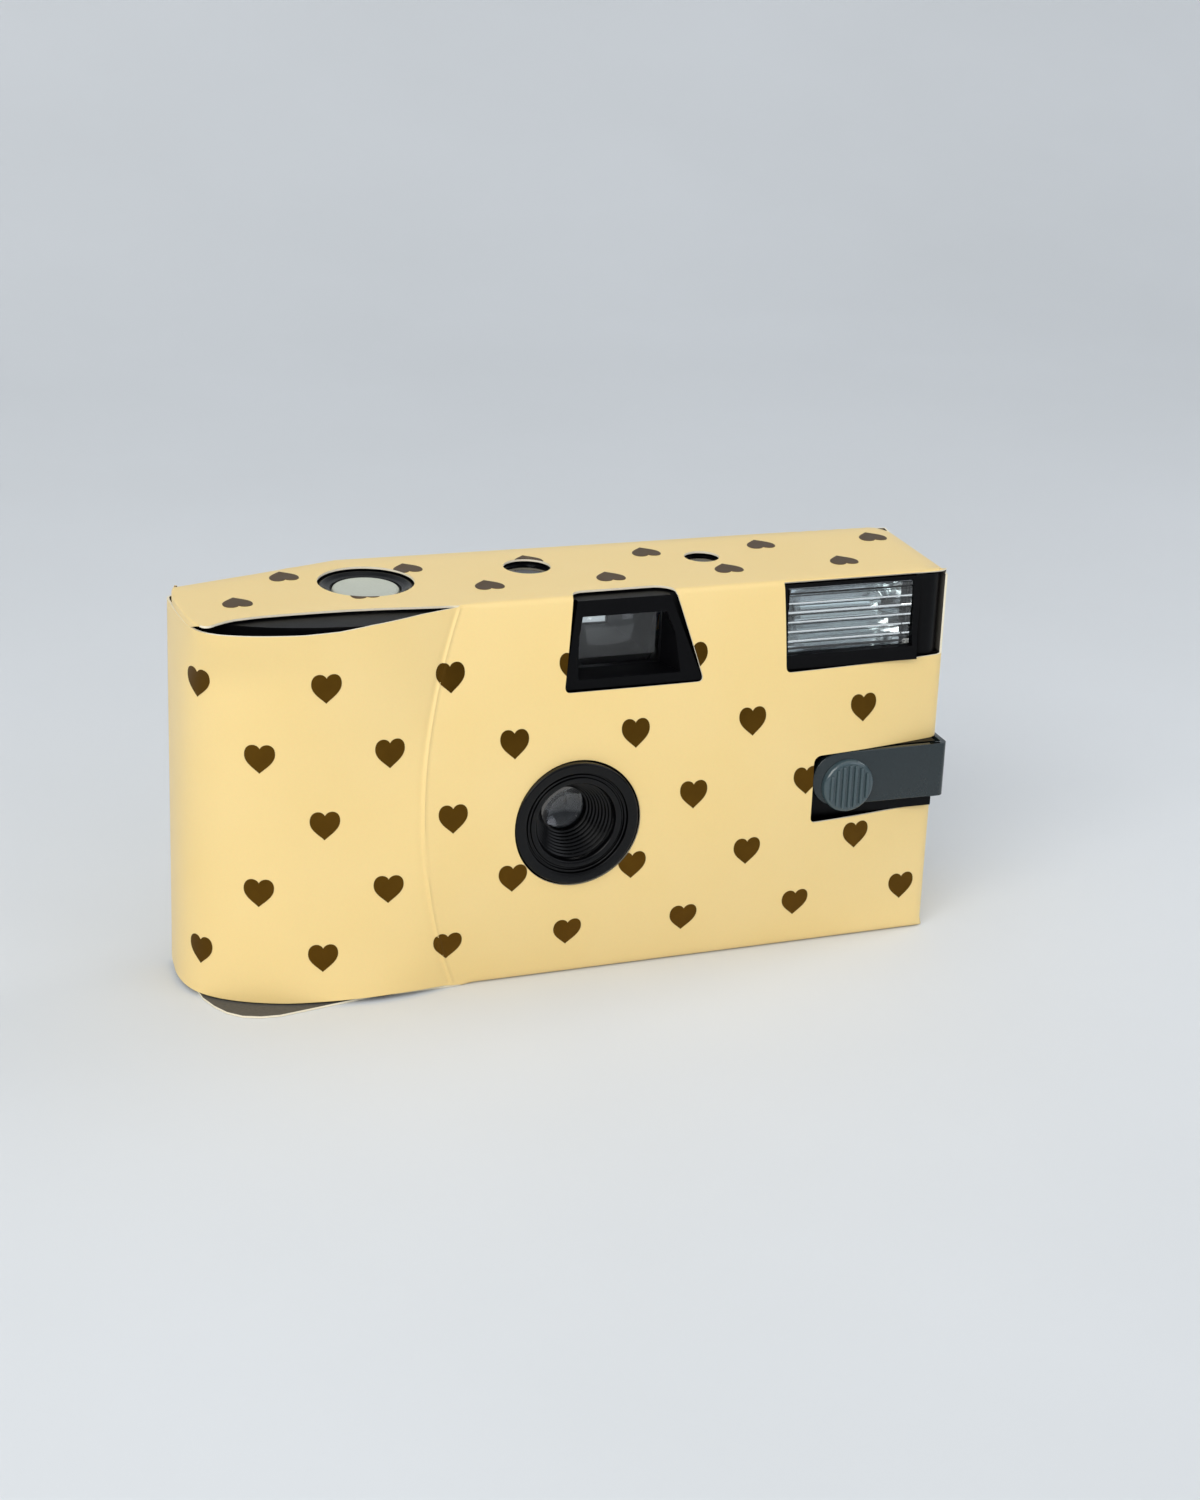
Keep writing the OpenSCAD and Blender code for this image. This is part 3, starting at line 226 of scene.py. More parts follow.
# The knob is the plate's slate ABS set lighter, as a painted highlight on its ribs and rim.
slate_knob_painted_highlight = moulded("slate_abs_lightened_painted_highlight", "#36454A", "#425358", 0.16, 0.25, 0.06, 1.53, 0.6)
pale_abs = moulded("pale_grey_abs", "#B5B8A9", "#C1C4B6", 0.38, 0.4, 0.08, 1.53)
# Working pieces inside: waxy acetal, matt frames and plain white or dark parts.
cream_acetal = moulded("cream_acetal", "#D2CCBD", "#DED8CA", 0.45, 0.4, 0.10, 1.48)
black_frame = moulded("matt_black_polystyrene", "#0B0B0B", "#171717", 0.6, 0.2, 0.4)
grey_black = moulded("charcoal_polystyrene", "#1C1F22", "#282C30", 0.45, 0.25, 0.3)
dial_white = moulded("white_polystyrene", "#DEDACD", "#ECE8DC", 0.4, 0.4, 0.05)
epoxy_black = moulded("black_epoxy", "#151517", "#222225", 0.5, 0.3, 0.2)
# Pieces of other stuff with the same layers: felt without gloss, glossy films, wraps and glass.
felt_black = moulded("black_velvet_felt", "#060606", "#161616", 0.95, 0.12, 1.0, 1.4)
glass_board = moulded("green_glass_epoxy", "#2F5C34", "#3F7245", 0.35, 0.6, 0.15)
winding_tape = moulded("amber_winding_tape", "#7E5024", "#966232", 0.4, 0.5, 0.2)
film_base = moulded("orange_masked_film", "#5A3524", "#734632", 0.22, 0.5, 0.05, 1.5)
cell_wrap = moulded("gold_cell_wrap", "#8C6B2C", "#A98338", 0.3, 1.5, 0.05, 1.5)
lamp_glass = moulded("amber_neon_glass", "#D89A5A", "#EBB27A", 0.15, 0.8, 0.02, 1.5)
print("mouldings", [m.name for m in bpy.data.materials if "polystyrene" in m.name])

# %% [markdown]
# ## Metals
# The flash reflector is bright vapour-coated sheet, the springs are drawn steel wire and the
# contacts are copper alloy. A metal needs only its colour, a roughness and fine drawing lines.

# %% Metals
def drawn_metal(name, dark, light, rough, line_mm):
    material, tree, shader, place = new_material(name, {"Metallic": 1})
    lines = noise(tree, place, line_mm, 3)
    feed(tree, shader, blend(tree, lines, dark, light), gloss(tree, lines, rough * 0.8, rough * 1.3))
    return material


mirror_sheet = drawn_metal("bright_aluminium_reflector", "#C9CED1", "#E4E8EA", 0.12, 3)
spring_steel = drawn_metal("drawn_spring_steel", "#A9ADAF", "#C6C9CB", 0.3, 0.3)
contact_copper = drawn_metal("copper_alloy_strip", "#A8733C", "#C68E50", 0.35, 0.6)
cassette_tin = drawn_metal("lacquered_tinplate", "#30363B", "#434A50", 0.3, 1.2)
print("metals", mirror_sheet.name, spring_steel.name)

# %% [markdown]
# ## Clear plastics
# Windows and lens are clear mouldings. A real one is never perfect: a faint moulding haze softens
# it a little, so the roughness carries a slow cloud.

# %% Clear plastics
def clear_plastic(name, tint, ior, haze):
    material, tree, shader, place = new_material(name, {
        "Transmission Weight": 1, "IOR": ior, "Base Color": linear(tint)})
    feed(tree, shader, None, gloss(tree, noise(tree, place, 4), haze * 0.4, haze))
    return material


clear_window = clear_plastic("clear_polystyrene", "#F4F8F8", 1.59, 0.04)
smoke_window = clear_plastic("smoke_grey_polystyrene", "#2A2C2E", 1.59, 0.05)
lens_acrylic = clear_plastic("optical_acrylic", "#F2F4F8", 1.49, 0.02)
tube_glass = clear_plastic("borosilicate_glass", "#EEF2F2", 1.47, 0.03)
print("clear", clear_window.name, lens_acrylic.name)

# %% [markdown]
# ## Studio
# A pale floor runs up into the backdrop in one sweep, so there is no horizon line. One large soft
# lamp stands at the left as a window would, a weak one fills from the right, a narrow one draws a
# rim along the right end, and the world gives the rest. The levels are low enough that cream stays
# cream.

# %% Floor and light
def studio_sheet():
    rows = [(-1.2, 0.0), (0.35, 0.0)]
    rows += [(0.35 + 0.5 * math.sin(a), 0.5 - 0.5 * math.cos(a)) for a in np.linspace(0.1, 1.5, 16)]
    rows += [(0.86, 2.4)]
    points = [(x, y, z) for y, z in rows for x in (-2.5, 2.5)]
    faces = [(2 * i, 2 * i + 1, 2 * i + 3, 2 * i + 2) for i in range(len(rows) - 1)]
    data = bpy.data.meshes.new("studio_sweep")
    data.from_pydata(points, [], faces)
    data.polygons.foreach_set("use_smooth", [True] * len(faces))
    return bpy.data.objects.new("studio_sweep", data)


sweep = studio_sheet()
plaster, tree, shader, place = new_material("pale_painted_floor", {"Roughness": 0.85})
feed(tree, shader, blend(tree, noise(tree, place, 120, 4), "#D2D5D7", "#DCDFE2"))
sweep.data.materials.append(plaster)
bpy.context.scene.collection.objects.link(sweep)
sweep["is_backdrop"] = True

world = bpy.data.worlds.new("studio")
bpy.context.scene.world = world
world.use_nodes = True
sky = world.node_tree
heading = add(sky, "ShaderNodeTexCoord")
parts = add(sky, "ShaderNodeSeparateXYZ", None, {"Vector": (heading, "Generated")})
height = add(sky, "ShaderNodeMapRange", {"From Min": 0.1, "From Max": 0.9}, {"Value": (parts, "Z")})
room = blend(sky, height, "#7C8086", "#E9EDF2", "Result")
sky.links.new(room.outputs[2], sky.nodes["Background"].inputs["Color"])
sky.nodes["Background"].inputs["Strength"].default_value = 1.05


def soft_lamp(name, place_m, target_m, width, height, watts, tint, beam_deg=180):
    data = bpy.data.lights.new(name, "AREA")
    data.shape, data.size, data.size_y = "RECTANGLE", width, height
    data.energy, data.color, data.spread = watts, linear(tint)[:3], math.radians(beam_deg)
    lamp = bpy.data.objects.new(name, data)
    lamp.location = place_m
    lamp.rotation_euler = (Vector(target_m) - Vector(place_m)).to_track_quat("-Z", "Y").to_euler()
    bpy.context.scene.collection.objects.link(lamp)


soft_lamp("window_left", (-0.75, -0.85, 0.7), (0, 0, 0.03), 0.9, 0.9, 11, "#FFFDF8")
soft_lamp("fill_right", (0.9, -0.9, 0.6), (0, 0, 0.03), 0.8, 0.8, 2.2, "#F2F6FF")
soft_lamp("rim_right", (0.6, 0.12, 0.3), (0.06, 0, 0.03), 0.2, 0.3, 0.06, "#FFFFFF", 40)

# %% [markdown]
# ## Pieces from points
# Most pieces here are worked out as points and faces in millimetres. This helper scales them,
# rounds the shading at the given angle and lets the piece ride on its body.

# %% Helper for pieces
def piece(name, points, faces, materials, body, face_slots=None, smooth_deg=35):
    data = bpy.data.meshes.new(name)
    data.from_pydata([tuple(p) for p in np.asarray(points, float) * MM], [], [list(f) for f in faces])
    for m in materials:
        data.materials.append(m)
    if face_slots is not None:
        data.polygons.foreach_set("material_index", np.asarray(face_slots, np.int32))
    data.polygons.foreach_set("use_smooth", [True] * len(data.polygons))
    data.set_sharp_from_angle(angle=math.radians(smooth_deg))
    data.update()
    made = bpy.data.objects.new(name, data)
    bpy.context.scene.collection.objects.link(made)
    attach(made, body)
    box = np.asarray(points, float)
    print(name, len(data.polygons), "faces, mm:", box.min(0).round(2).tolist(), box.max(0).round(2).tolist())
    return made


def turned(profile, place, axis="y", around=96):
    """Points and faces of a closed profile of (radius, along) turned about an axis."""
    n = len(profile)
    points, faces = [], []
    for i in range(around):
        a = 2 * math.pi * i / around
        for r, h in profile:
            u, w = r * math.cos(a), r * math.sin(a)
            points.append((place[0] + u, place[1] + h, place[2] + w) if axis == "y"
                          else (place[0] + u, place[1] + w, place[2] + h))
    for i in range(around):
        j = (i + 1) % around
        for k in range(n):
            m = (k + 1) % n
            face = (i * n + k, i * n + m, j * n + m, j * n + k)
            faces.append(face if axis == "z" else face[::-1])
    return points, faces


def rounded_profile(corners, radius, steps=5):
    """A closed or open chain of corners, each rounded by a small curve."""
    out = []
    count = len(corners)
    for i in range(count):
        b = np.array(corners[i], float)
        a, c = np.array(corners[i - 1], float), np.array(corners[(i + 1) % count], float)
        r = radius[i] if isinstance(radius, (list, tuple)) else radius
        r1 = min(r, 0.45 * np.linalg.norm(a - b))
        r2 = min(r, 0.45 * np.linalg.norm(c - b))
        if min(r1, r2) < 1e-4:
            out.append(tuple(b))
            continue
        p = b + (a - b) / np.linalg.norm(a - b) * r1
        q = b + (c - b) / np.linalg.norm(c - b) * r2
        for t in np.linspace(0, 1, steps):
            out.append(tuple((1 - t) ** 2 * p + 2 * t * (1 - t) * b + t * t * q))
    return out


def quads(rows, columns, start=0, flip=False):
    """Faces of a grid of points that are stored row by row."""
    corners = [start + j * columns + i for j in range(rows - 1) for i in range(columns - 1)]
    if flip:
        return [(a, a + columns, a + columns + 1, a + 1) for a in corners]
    return [(a, a + 1, a + columns + 1, a + columns) for a in corners]


def rim_walls(rows, columns):
    """Side faces between two equal grids, stored one after the other."""
    number = np.arange(rows * columns).reshape(rows, columns)
    rim = np.concatenate([number[0], number[1:, -1], number[-1, -2::-1], number[-2:0:-1, 0]])
    return [(a, b, b + number.size, a + number.size) for a, b in zip(np.roll(rim, 1), rim)]


print("helpers ready")

# %% [markdown]
# ## The blank of the sleeve
# The real sleeve is a flat die-cut blank: it is printed, stamped, cut and then folded round the
# camera. Box modelling with cutters would tear the thin card's shading, so this lesson works as
# the factory does. The blank is drawn flat, with s along the band and v upward. Windows are cut
# there, and one function then folds every flat point to its place in space.

# %% Measures of the folded card
LEFT_X, RIGHT_X, TOP_Z = -59.4, 59.0, 59.7
FLANK_X, CREST_X, CREST_Y = -19.7, -24.0, -15.0
LENS = (-2.5, 26.2)
CARD = 0.32
FOIL_ROOM = 0.05
HEEL, KINK = (-58.2, 7.8), (-31.3, 16.0)
BACK_RIGHT, FRONT_RIGHT = (RIGHT_X, 14.5), (RIGHT_X, -9.5)
FOOT_TURNS = [-57.2, -56.2, -54.9, -53.0, -50.5, -47.7, -33.0, FLANK_X, RIGHT_X]


def fold_y(x):
    """Front edge of the top panel."""
    return np.interp(x, [-57.6, FLANK_X, RIGHT_X], [-11.8, -9.9, -9.5])


def foot_y(x):
    """Front edge of the bottom panel."""
    return np.interp(x, FOOT_TURNS, [-7.2, -10.4, -12.9, -14.7, -15.6, -15.8, -12.9, -12.2, -9.5])


def front_y(x, z):
    """The front panel: straight at its folds and bulged over the lens."""
    t = (x - FLANK_X) / (RIGHT_X - FLANK_X)
    low, high = -12.2 + 2.7 * t, -9.9 + 0.4 * t
    along = 1 - np.abs((x - LENS[0]) / (RIGHT_X - LENS[0])) ** 3
    up = 1 - ((z - LENS[1]) / np.where(z > LENS[1], TOP_Z - LENS[1], LENS[1])) ** 2
    return low + (high - low) * z / TOP_Z - 4.8 * along * up


def crease_x(z):
    """The scored line between grip and front panel is an arc."""
    return -26.2 + 6.5 * ((z - 29.5) / 30) ** 2


print("front panel at the lens: y", round(float(front_y(np.array(LENS[0]), np.array(LENS[1]))), 2))

# %% [markdown]
# The band's plan is followed on foot: from the crest of the grip round its end, over the slanted
# back panel, along the back and round the right end. The distance walked is the flat coordinate.

# %% Plan of the band
def plan_of_band(power, heel_x):
    """Points from the crest of the grip round the back to the right front corner."""
    share = np.linspace(0, 1, 120)
    t = np.pi / 2 * (1 - (3 * share ** 2 - 2 * share ** 3))
    grip = np.stack([CREST_X - (CREST_X - LEFT_X) * np.cos(t) ** (2 / power),
                     1.6 - (1.6 - CREST_Y) * np.sin(t) ** (2 / power)], 1)
    corners = [tuple(grip[-1]), (heel_x, HEEL[1]), KINK, BACK_RIGHT, FRONT_RIGHT]
    rest = rounded_profile(corners, [0, 1.6, 1.2, 0.9, 0], 7)
    return np.concatenate([grip, np.array(rest)[1:]])


def walk(points):
    """Distance walked along the points, and the distance at the heel."""
    walked = np.concatenate([[0], np.cumsum(np.linalg.norm(np.diff(points, axis=0), axis=1))])
    return walked, float(walked[np.argmin(np.linalg.norm(points - np.array(HEEL), axis=1))])


plans = [plan_of_band(power, HEEL[0] - out) for power, out in ((2.6, 0.6), (3.4, 1.0), (5.2, 1.0))]
walks = [walk(plan) for plan in plans]
(foot_walk, foot_heel), (_, top_heel), _ = walks
heel_at = (foot_heel + top_heel) / 2
back_length = float(foot_walk[-1]) - foot_heel
kink_at = heel_at + math.dist(HEEL, KINK)
round_length = heel_at + back_length
S_START = CREST_X - heel_at
S_END = RIGHT_X + round_length - heel_at
S_KINK = RIGHT_X + round_length - kink_at
S_BACK = RIGHT_X + BACK_RIGHT[1] - FRONT_RIGHT[1]
print("band runs from", round(S_START, 1), "to", round(S_END, 1), "mm")

# %% [markdown]
# Board is scored before it is folded, and each fold keeps a small radius. The three plans are for
# the foot, the top and the rim: the wrap is squarest at its rim, where the tuck flap holds it.

# %% Folding
FOLD_R, CORNER_R, FOOT_R = 0.9, 1.7, 1.1
SCORE = 0.2  # height of the scored ridge
FRONT_LIMIT = -15.98  # the card stays behind this
SHOULDER_X = -46  # the shoulders are drawn in from here
RIM_FROM = 50  # the rim's plan takes over above this
GRIP_RUN = 30  # this much of the walk is the same in all plans


def smooth_step(t):
    t = np.clip(t, 0, 1)
    return t * t * (3 - 2 * t)


def softer_max(a, b, width):
    return (a + b + np.sqrt((a - b) ** 2 + width ** 2)) / 2


def drawn_in(x, y, z):
    """Y of the grip wrap where its shoulders are drawn in to the front panel."""
    top = -10.93 + 0.29 * (x + 20.216) + 0.154 * (z - TOP_Z)
    toe = -12.62 + 0.22 * (x - FLANK_X) - 0.206 * z
    pulled = softer_max(softer_max(y, top, 1.1), toe, 1.1)
    return np.where(x < SHOULDER_X, y, y + (pulled - y) * smooth_step((x - SHOULDER_X) / 6))


def band(s, v):
    """The upright band of the sleeve before its top and bottom folds."""
    step = np.where(s < CREST_X, CREST_X - s, np.where(s > RIGHT_X, round_length - (s - RIGHT_X), 0))
    off_front = (s < CREST_X) | (s > RIGHT_X)
    square = smooth_step(v / TOP_Z)
    flare = smooth_step((v - RIM_FROM) / (TOP_Z - RIM_FROM))
    places = []
    for plan, (walked, heel) in zip(plans, walks):
        own = np.interp(step, [0, GRIP_RUN, heel_at, round_length], [0, GRIP_RUN, heel, walked[-1]])
        places.append([np.interp(own, walked, plan[:, k]) for k in (0, 1)])
    x, y = [a + (b - a) * square + (c - b) * flare for a, b, c in zip(*places)]
    x, y = np.where(off_front, x, s), np.where(off_front, y, CREST_Y)
    line = crease_x(v)
    gap = front_y(line, v) - drawn_in(line, 0 * line + CREST_Y, v)
    share = np.clip((x - SHOULDER_X) / (line - SHOULDER_X), 0, 1) ** 2.4
    on_wrap = (s < RIGHT_X) & (x < line) & (s > -70)
    y = np.where(on_wrap, drawn_in(x, y, v) + gap * share, y)
    on_front = (s <= RIGHT_X) & (x >= line)
    y = np.where(on_front, front_y(np.clip(x, -40, RIGHT_X), v), y)
    off = x - line
    ridge = SCORE * (np.exp(-(off / 0.24) ** 2) - 0.4 * np.exp(-((off + 0.6) / 0.34) ** 2))
    y = np.maximum(y - np.where((s < 0) & (s > -40), ridge, 0), FRONT_LIMIT)
    return np.stack([x, y, v + 0 * x], -1)


def band_round(s, v):
    """The same with a soft fold at the right front corner."""
    flat = band(s, v)
    t = np.clip((s - RIGHT_X + CORNER_R) / (2 * CORNER_R), 0, 1)[..., None]
    a = band(0 * s + RIGHT_X - CORNER_R, v)
    c = band(0 * s + RIGHT_X + CORNER_R, v)
    b = np.stack([0 * s + RIGHT_X, 0 * s + FRONT_RIGHT[1], v + 0 * s], -1)
    bent = (1 - t) ** 2 * a + 2 * t * (1 - t) * b + t * t * c
    near = (np.abs(s - RIGHT_X) < CORNER_R)[..., None]
    return np.where(near, bent, flat)


def sleeve(s, v):
    """Folds flat points (s, v) of the blank to their places in space."""
    s, v = np.asarray(s, float), np.asarray(v, float)
    upright = band_round(s, np.clip(v, 0, TOP_Z))
    back_edge = np.interp(s, [-56.6, KINK[0], RIGHT_X], [8.3, KINK[1], BACK_RIGHT[1]])
    edge = back_edge - fold_y(s) - (v - TOP_Z)
    roll = 0.35 * np.clip(1 - edge / 1.2, 0, 1) ** 2 + 0.9 * np.clip(1 - (RIGHT_X - s) / 3, 0, 1) ** 2
    top = np.stack([s, fold_y(s) + v - TOP_Z, TOP_Z - np.where(v > TOP_Z, roll, 0)], -1)
    foot = np.stack([s, foot_y(s) - v, 0 * s], -1)
    out = np.where((v >= TOP_Z)[..., None] & (s <= RIGHT_X)[..., None], top, upright)
    out = np.where((v <= 0)[..., None] & (s <= RIGHT_X)[..., None], foot, out)
    for radius, level, side in ((FOLD_R, TOP_Z, 1), (FOOT_R, 0.0, -1)):
        r = radius * smooth_step((s - FLANK_X) / 3) + 1e-9
        t = np.clip(side * (v - level) / (2 * r) + 0.5, 0, 1)[..., None]
        a = band_round(s, level - side * r)
        reach = np.stack([s, (fold_y(s) if side > 0 else foot_y(s)), level + 0 * s], -1)
        c = reach + np.stack([0 * s, r, 0 * s], -1)
        bent = (1 - t) ** 2 * a + 2 * t * (1 - t) * reach + t * t * c
        near = (np.abs(v - level) < r) & (s > FLANK_X) & (s <= RIGHT_X)
        out = np.where(near[..., None], bent, out)
    return out


def sleeve_normal(s, v):
    """Outward direction of the folded card, from two short steps on it."""
    e = 0.02
    ds = np.where(s < 0, e, -e)
    dv = np.where(v >= TOP_Z, e, np.where(v <= 0, -e, np.where(v > TOP_Z / 2, -e, e)))
    here = sleeve(s, v)
    along = (sleeve(s + ds, v) - here) * np.sign(ds)[..., None]
    up = (sleeve(s, v + dv) - here) * np.sign(dv)[..., None]
    n = np.cross(along, up)
    return n / np.maximum(np.linalg.norm(n, axis=-1, keepdims=True), 1e-12)


check = sleeve(np.array([0.0, 40.0, -57.0]), np.array([26.0, 70.0, 30.0]))
print("folded samples", check.round(2).tolist())

# %% [markdown]
# ## Outline and windows
# The outline of the blank runs round the band and round the top and bottom panels, with slits
# where the grip wrap is free of them. The flash window opens into the slit at the right end.

# %% Flat outline
def dense(loop, step):
    out = []
    for i, a in enumerate(loop):
        b = loop[(i + 1) % len(loop)]
        n = max(1, int(math.ceil(math.dist(a, b) / step)))
        out += [(a[0] + (b[0] - a[0]) * k / n, a[1] + (b[1] - a[1]) * k / n) for k in range(n)]
    return out


def on_top(x, y):
    return (x, TOP_Z + y - float(fold_y(x)))


def on_foot(x, y):
    return (x, float(foot_y(x)) - y)


def back_line(x):
    """Back edge of the top and bottom panels."""
    return float(np.interp(x, [HEEL[0], KINK[0], RIGHT_X], [HEEL[1], KINK[1], BACK_RIGHT[1]]))


def panel_end(q):
    """Left edge of the top panel, from the slot (q = 0) to the back (q = 1)."""
    return (-57.6 - 1.35 * (1 - abs(2 * q - 1) ** 3), -11.8 + 20.1 * q)


def slot_line(x):
    """Front edge of the top panel over the grip: the die cuts a lens-shaped slot."""
    bow = np.interp(x, [-57.6, -55.5, -53, -49, -44.4, -40, -35.8, -31, -27.2, -23, FLANK_X],
                    [0, 1.7, 2.7, 3.1, 3.0, 2.8, 2.5, 1.9, 1.2, 0.5, 0])
    return float(fold_y(x) + bow)


WINDOW_Z = 46.0
TIP_Q, TIP_X = 0.08, -55.9
FLASH_LEFT, FLASH_RIGHT = 31.3, 59.5
slot_drops = [(FLANK_X - 0.4, 0.25), (-26, 0.25), (-34, 0.6), (-39, 1.15), (-44, 1.3), (-54, 1.1), (-61, 1.15),
              (S_START, 1.4)]
back_drops = [(S_END, 1.3), (S_END - 5, 0.5), (S_BACK, 0.5), (S_BACK - 2, 1.1), (FLASH_RIGHT, 1.1)]
outline = [(S_START, 1.2), (-61, 0.7), (-46, 0.65), (-38, 0.8), (-30, 0.95), (-22, 0.6),
           (FLANK_X + 0.5, 0.25), (FLANK_X + 1.0, 0.0)]
outline += [(x, 0.0) for x in [-26.0] + FOOT_TURNS[-3::-1]]
outline += [on_foot(x, back_line(x)) for x in sorted([HEEL[0], KINK[0]] + FOOT_TURNS)]
outline += [(RIGHT_X, 0.0), (S_END, 0.0)]
outline += [(s, TOP_Z - drop) for s, drop in back_drops]
outline += rounded_profile([(FLASH_RIGHT, TOP_Z + 3), (FLASH_RIGHT, WINDOW_Z), (FLASH_LEFT, WINDOW_Z),
                            (FLASH_LEFT, TOP_Z + 3)], [0, 0.5, 1.0, 0], 6)[1:-1]
outline += [(FLASH_LEFT, TOP_Z)]
outline += rounded_profile([(FLASH_LEFT, TOP_Z), (RIGHT_X, TOP_Z), on_top(*BACK_RIGHT), on_top(*KINK)],
                           [0, 2.6, 0.8, 0], 8)[1:-1]
outline += [on_top(FLANK_X, back_line(FLANK_X)), on_top(*KINK), on_top(-44, back_line(-44))]
outline += [on_top(*panel_end(q)) for q in np.linspace(1, TIP_Q, 25)]
tip = [np.array(p) for p in (panel_end(TIP_Q), panel_end(0), (TIP_X, slot_line(TIP_X)))]
outline += [on_top(*((1 - t) ** 2 * tip[0] + 2 * t * (1 - t) * tip[1] + t * t * tip[2]))
            for t in (0.2, 0.4, 0.6, 0.8)]
outline += [on_top(x, slot_line(x)) for x in np.arange(TIP_X, FLANK_X, 1.5)] + [(FLANK_X, TOP_Z)]
outline += [(s, TOP_Z - drop) for s, drop in slot_drops]
outline = dense(outline, 1.3)
print("outline of", len(outline), "points")

# %% Cut-outs
def ring_on(centre, radius, count, lay=None):
    angles = [2 * math.pi * i / count for i in range(count)]
    spots = [(centre[0] + radius * math.cos(a), centre[1] + radius * math.sin(a)) for a in angles]
    return [lay(*p) for p in spots] if lay else spots


def box_hole(middle, half, low, high, radius):
    corners = [(middle - half, low), (middle + half, low), (middle + half, high), (middle - half, high)]
    return rounded_profile(corners, radius, 6)


finder_hole = rounded_profile([(-4.4, WINDOW_Z), (17.8, WINDOW_Z), (13.1, TOP_Z + 2.6), (-1.9, TOP_Z + 2.6)],
                              [1.1, 1.1, 2.6, 2.0], 7)
slider_hole = rounded_profile([(36.4, 21.5), (63.0, 21.5), (63.0, 32.45), (36.4, 32.45)],
                              [1.0, 0.8, 0.8, 1.4], 6)
flash_hole = [(FLASH_LEFT, WINDOW_Z), (FLASH_RIGHT, WINDOW_Z), (FLASH_RIGHT, TOP_Z), (FLASH_LEFT, TOP_Z)]
slant = np.array(KINK) - np.array(HEEL)
slant_length = float(np.linalg.norm(slant))
wheel_s = S_END - float((np.array([-32.5, 0.7]) - np.array(HEEL)) @ slant) / slant_length
wheel_hole = box_hole(wheel_s, 12, 46.5, 54.4, 1.2)
eye_s = S_BACK + math.dist(BACK_RIGHT, (5.6, 15.4))
eye_hole = box_hole(eye_s, 6, 47.5, 56.9, 1.0)
holes = [dense(h, 1.2) for h in (finder_hole, slider_hole, wheel_hole, eye_hole)]
holes += [ring_on((LENS[0] + 0.2, LENS[1] - 0.2), 9.95, 72), ring_on((-30, 3.9), 7.2, 64, on_top),
          ring_on((-4.35, 5.8), 3.6, 40, on_top), ring_on((23.5, 4.8), 2.7, 36, on_top)]
print("cut-outs", len(holes))

# %% [markdown]
# ## Cutting and folding
# A constrained triangulation keeps the die's lines exactly and fills the rest with a fine grid
# where the card bends. Each flat sheet becomes two skins, one card thickness apart, joined by the
# white cut edge.

# %% Sheet maker
def within(points, loop):
    """Which points lie inside a closed loop."""
    points, loop = np.asarray(points, float), np.asarray(loop, float)
    inside = np.zeros(len(points), bool)
    for (x0, y0), (x1, y1) in zip(loop, np.roll(loop, -1, axis=0)):
        crosses = (y0 > points[:, 1]) != (y1 > points[:, 1])
        with np.errstate(divide="ignore", invalid="ignore"):
            at = (x1 - x0) * (points[:, 1] - y0) / (y1 - y0) + x0
        inside ^= crosses & (points[:, 0] < at)
    return inside


def clear_of(points, loops, room):
    """Which points keep that distance from all the lines of the loops."""
    free = np.ones(len(points), bool)
    for loop in loops:
        loop = np.asarray(loop, float)
        for a, b in zip(loop, np.roll(loop, -1, axis=0)):
            near = np.all((points > np.minimum(a, b) - room) & (points < np.maximum(a, b) + room), axis=1)
            if near.any():
                run = b - a
                t = np.clip((points[near] - a) @ run / max(run @ run, 1e-12), 0, 1)
                free[near] &= np.linalg.norm(points[near] - a - t[:, None] * run, axis=1) > room
    return free


def die_cut(loop, cuts, filling, room):
    """Flat triangles of a blank with its cut-outs."""
    loops = [loop] + cuts
    filling = np.asarray(filling, float).reshape(-1, 2)
    keep = within(filling, loop) & clear_of(filling, loops, room)
    for cut in cuts:
        keep &= ~within(filling, cut)
    points, edges = [], []
    for line in loops:
        start = len(points)
        points += [Vector(p) for p in line]
        edges += [(start + i, start + (i + 1) % len(line)) for i in range(len(line))]
    points += [Vector(p) for p in filling[keep]]
    found = delaunay_2d_cdt(points, edges, [], 0, 1e-5)
    flat = np.array([tuple(p) for p in found[0]])
    faces = np.array([f for f in found[2] if len(f) == 3])
    middle = flat[faces].mean(1)
    good = within(middle, loop)
    for cut in cuts:
        good &= ~within(middle, cut)
    return flat, faces[good]


def skins(flat, faces, low, high):
    """Folds flat triangles to a closed sheet between two levels of the card's surface."""
    used = np.unique(faces)
    renumber = np.full(len(flat), -1)
    renumber[used] = np.arange(len(used))
    flat, faces = flat[used], renumber[faces]
    outer, n = sleeve(flat[:, 0], flat[:, 1]), sleeve_normal(flat[:, 0], flat[:, 1])
    count = len(flat)
    points = np.concatenate([outer + n * high, outer + n * low])
    edges = {}
    for f in faces:
        for a, b in ((f[0], f[1]), (f[1], f[2]), (f[2], f[0])):
            edges[(a, b)] = True
    rim = [(a, b) for a, b in edges if (b, a) not in edges]
    front = [tuple(f) for f in faces]
    back = [(f[2] + count, f[1] + count, f[0] + count) for f in faces]
    walls = [(b, a, a + count, b + count) for a, b in rim]
    return points, front, back, walls


print("sheet maker ready")

# %% Fold the sleeve
def grid(s0, s1, v0, v1, step):
    s, v = np.meshgrid(np.arange(s0, s1, step), np.arange(v0, v1, step))
    return np.stack([s.ravel(), v.ravel()], 1)


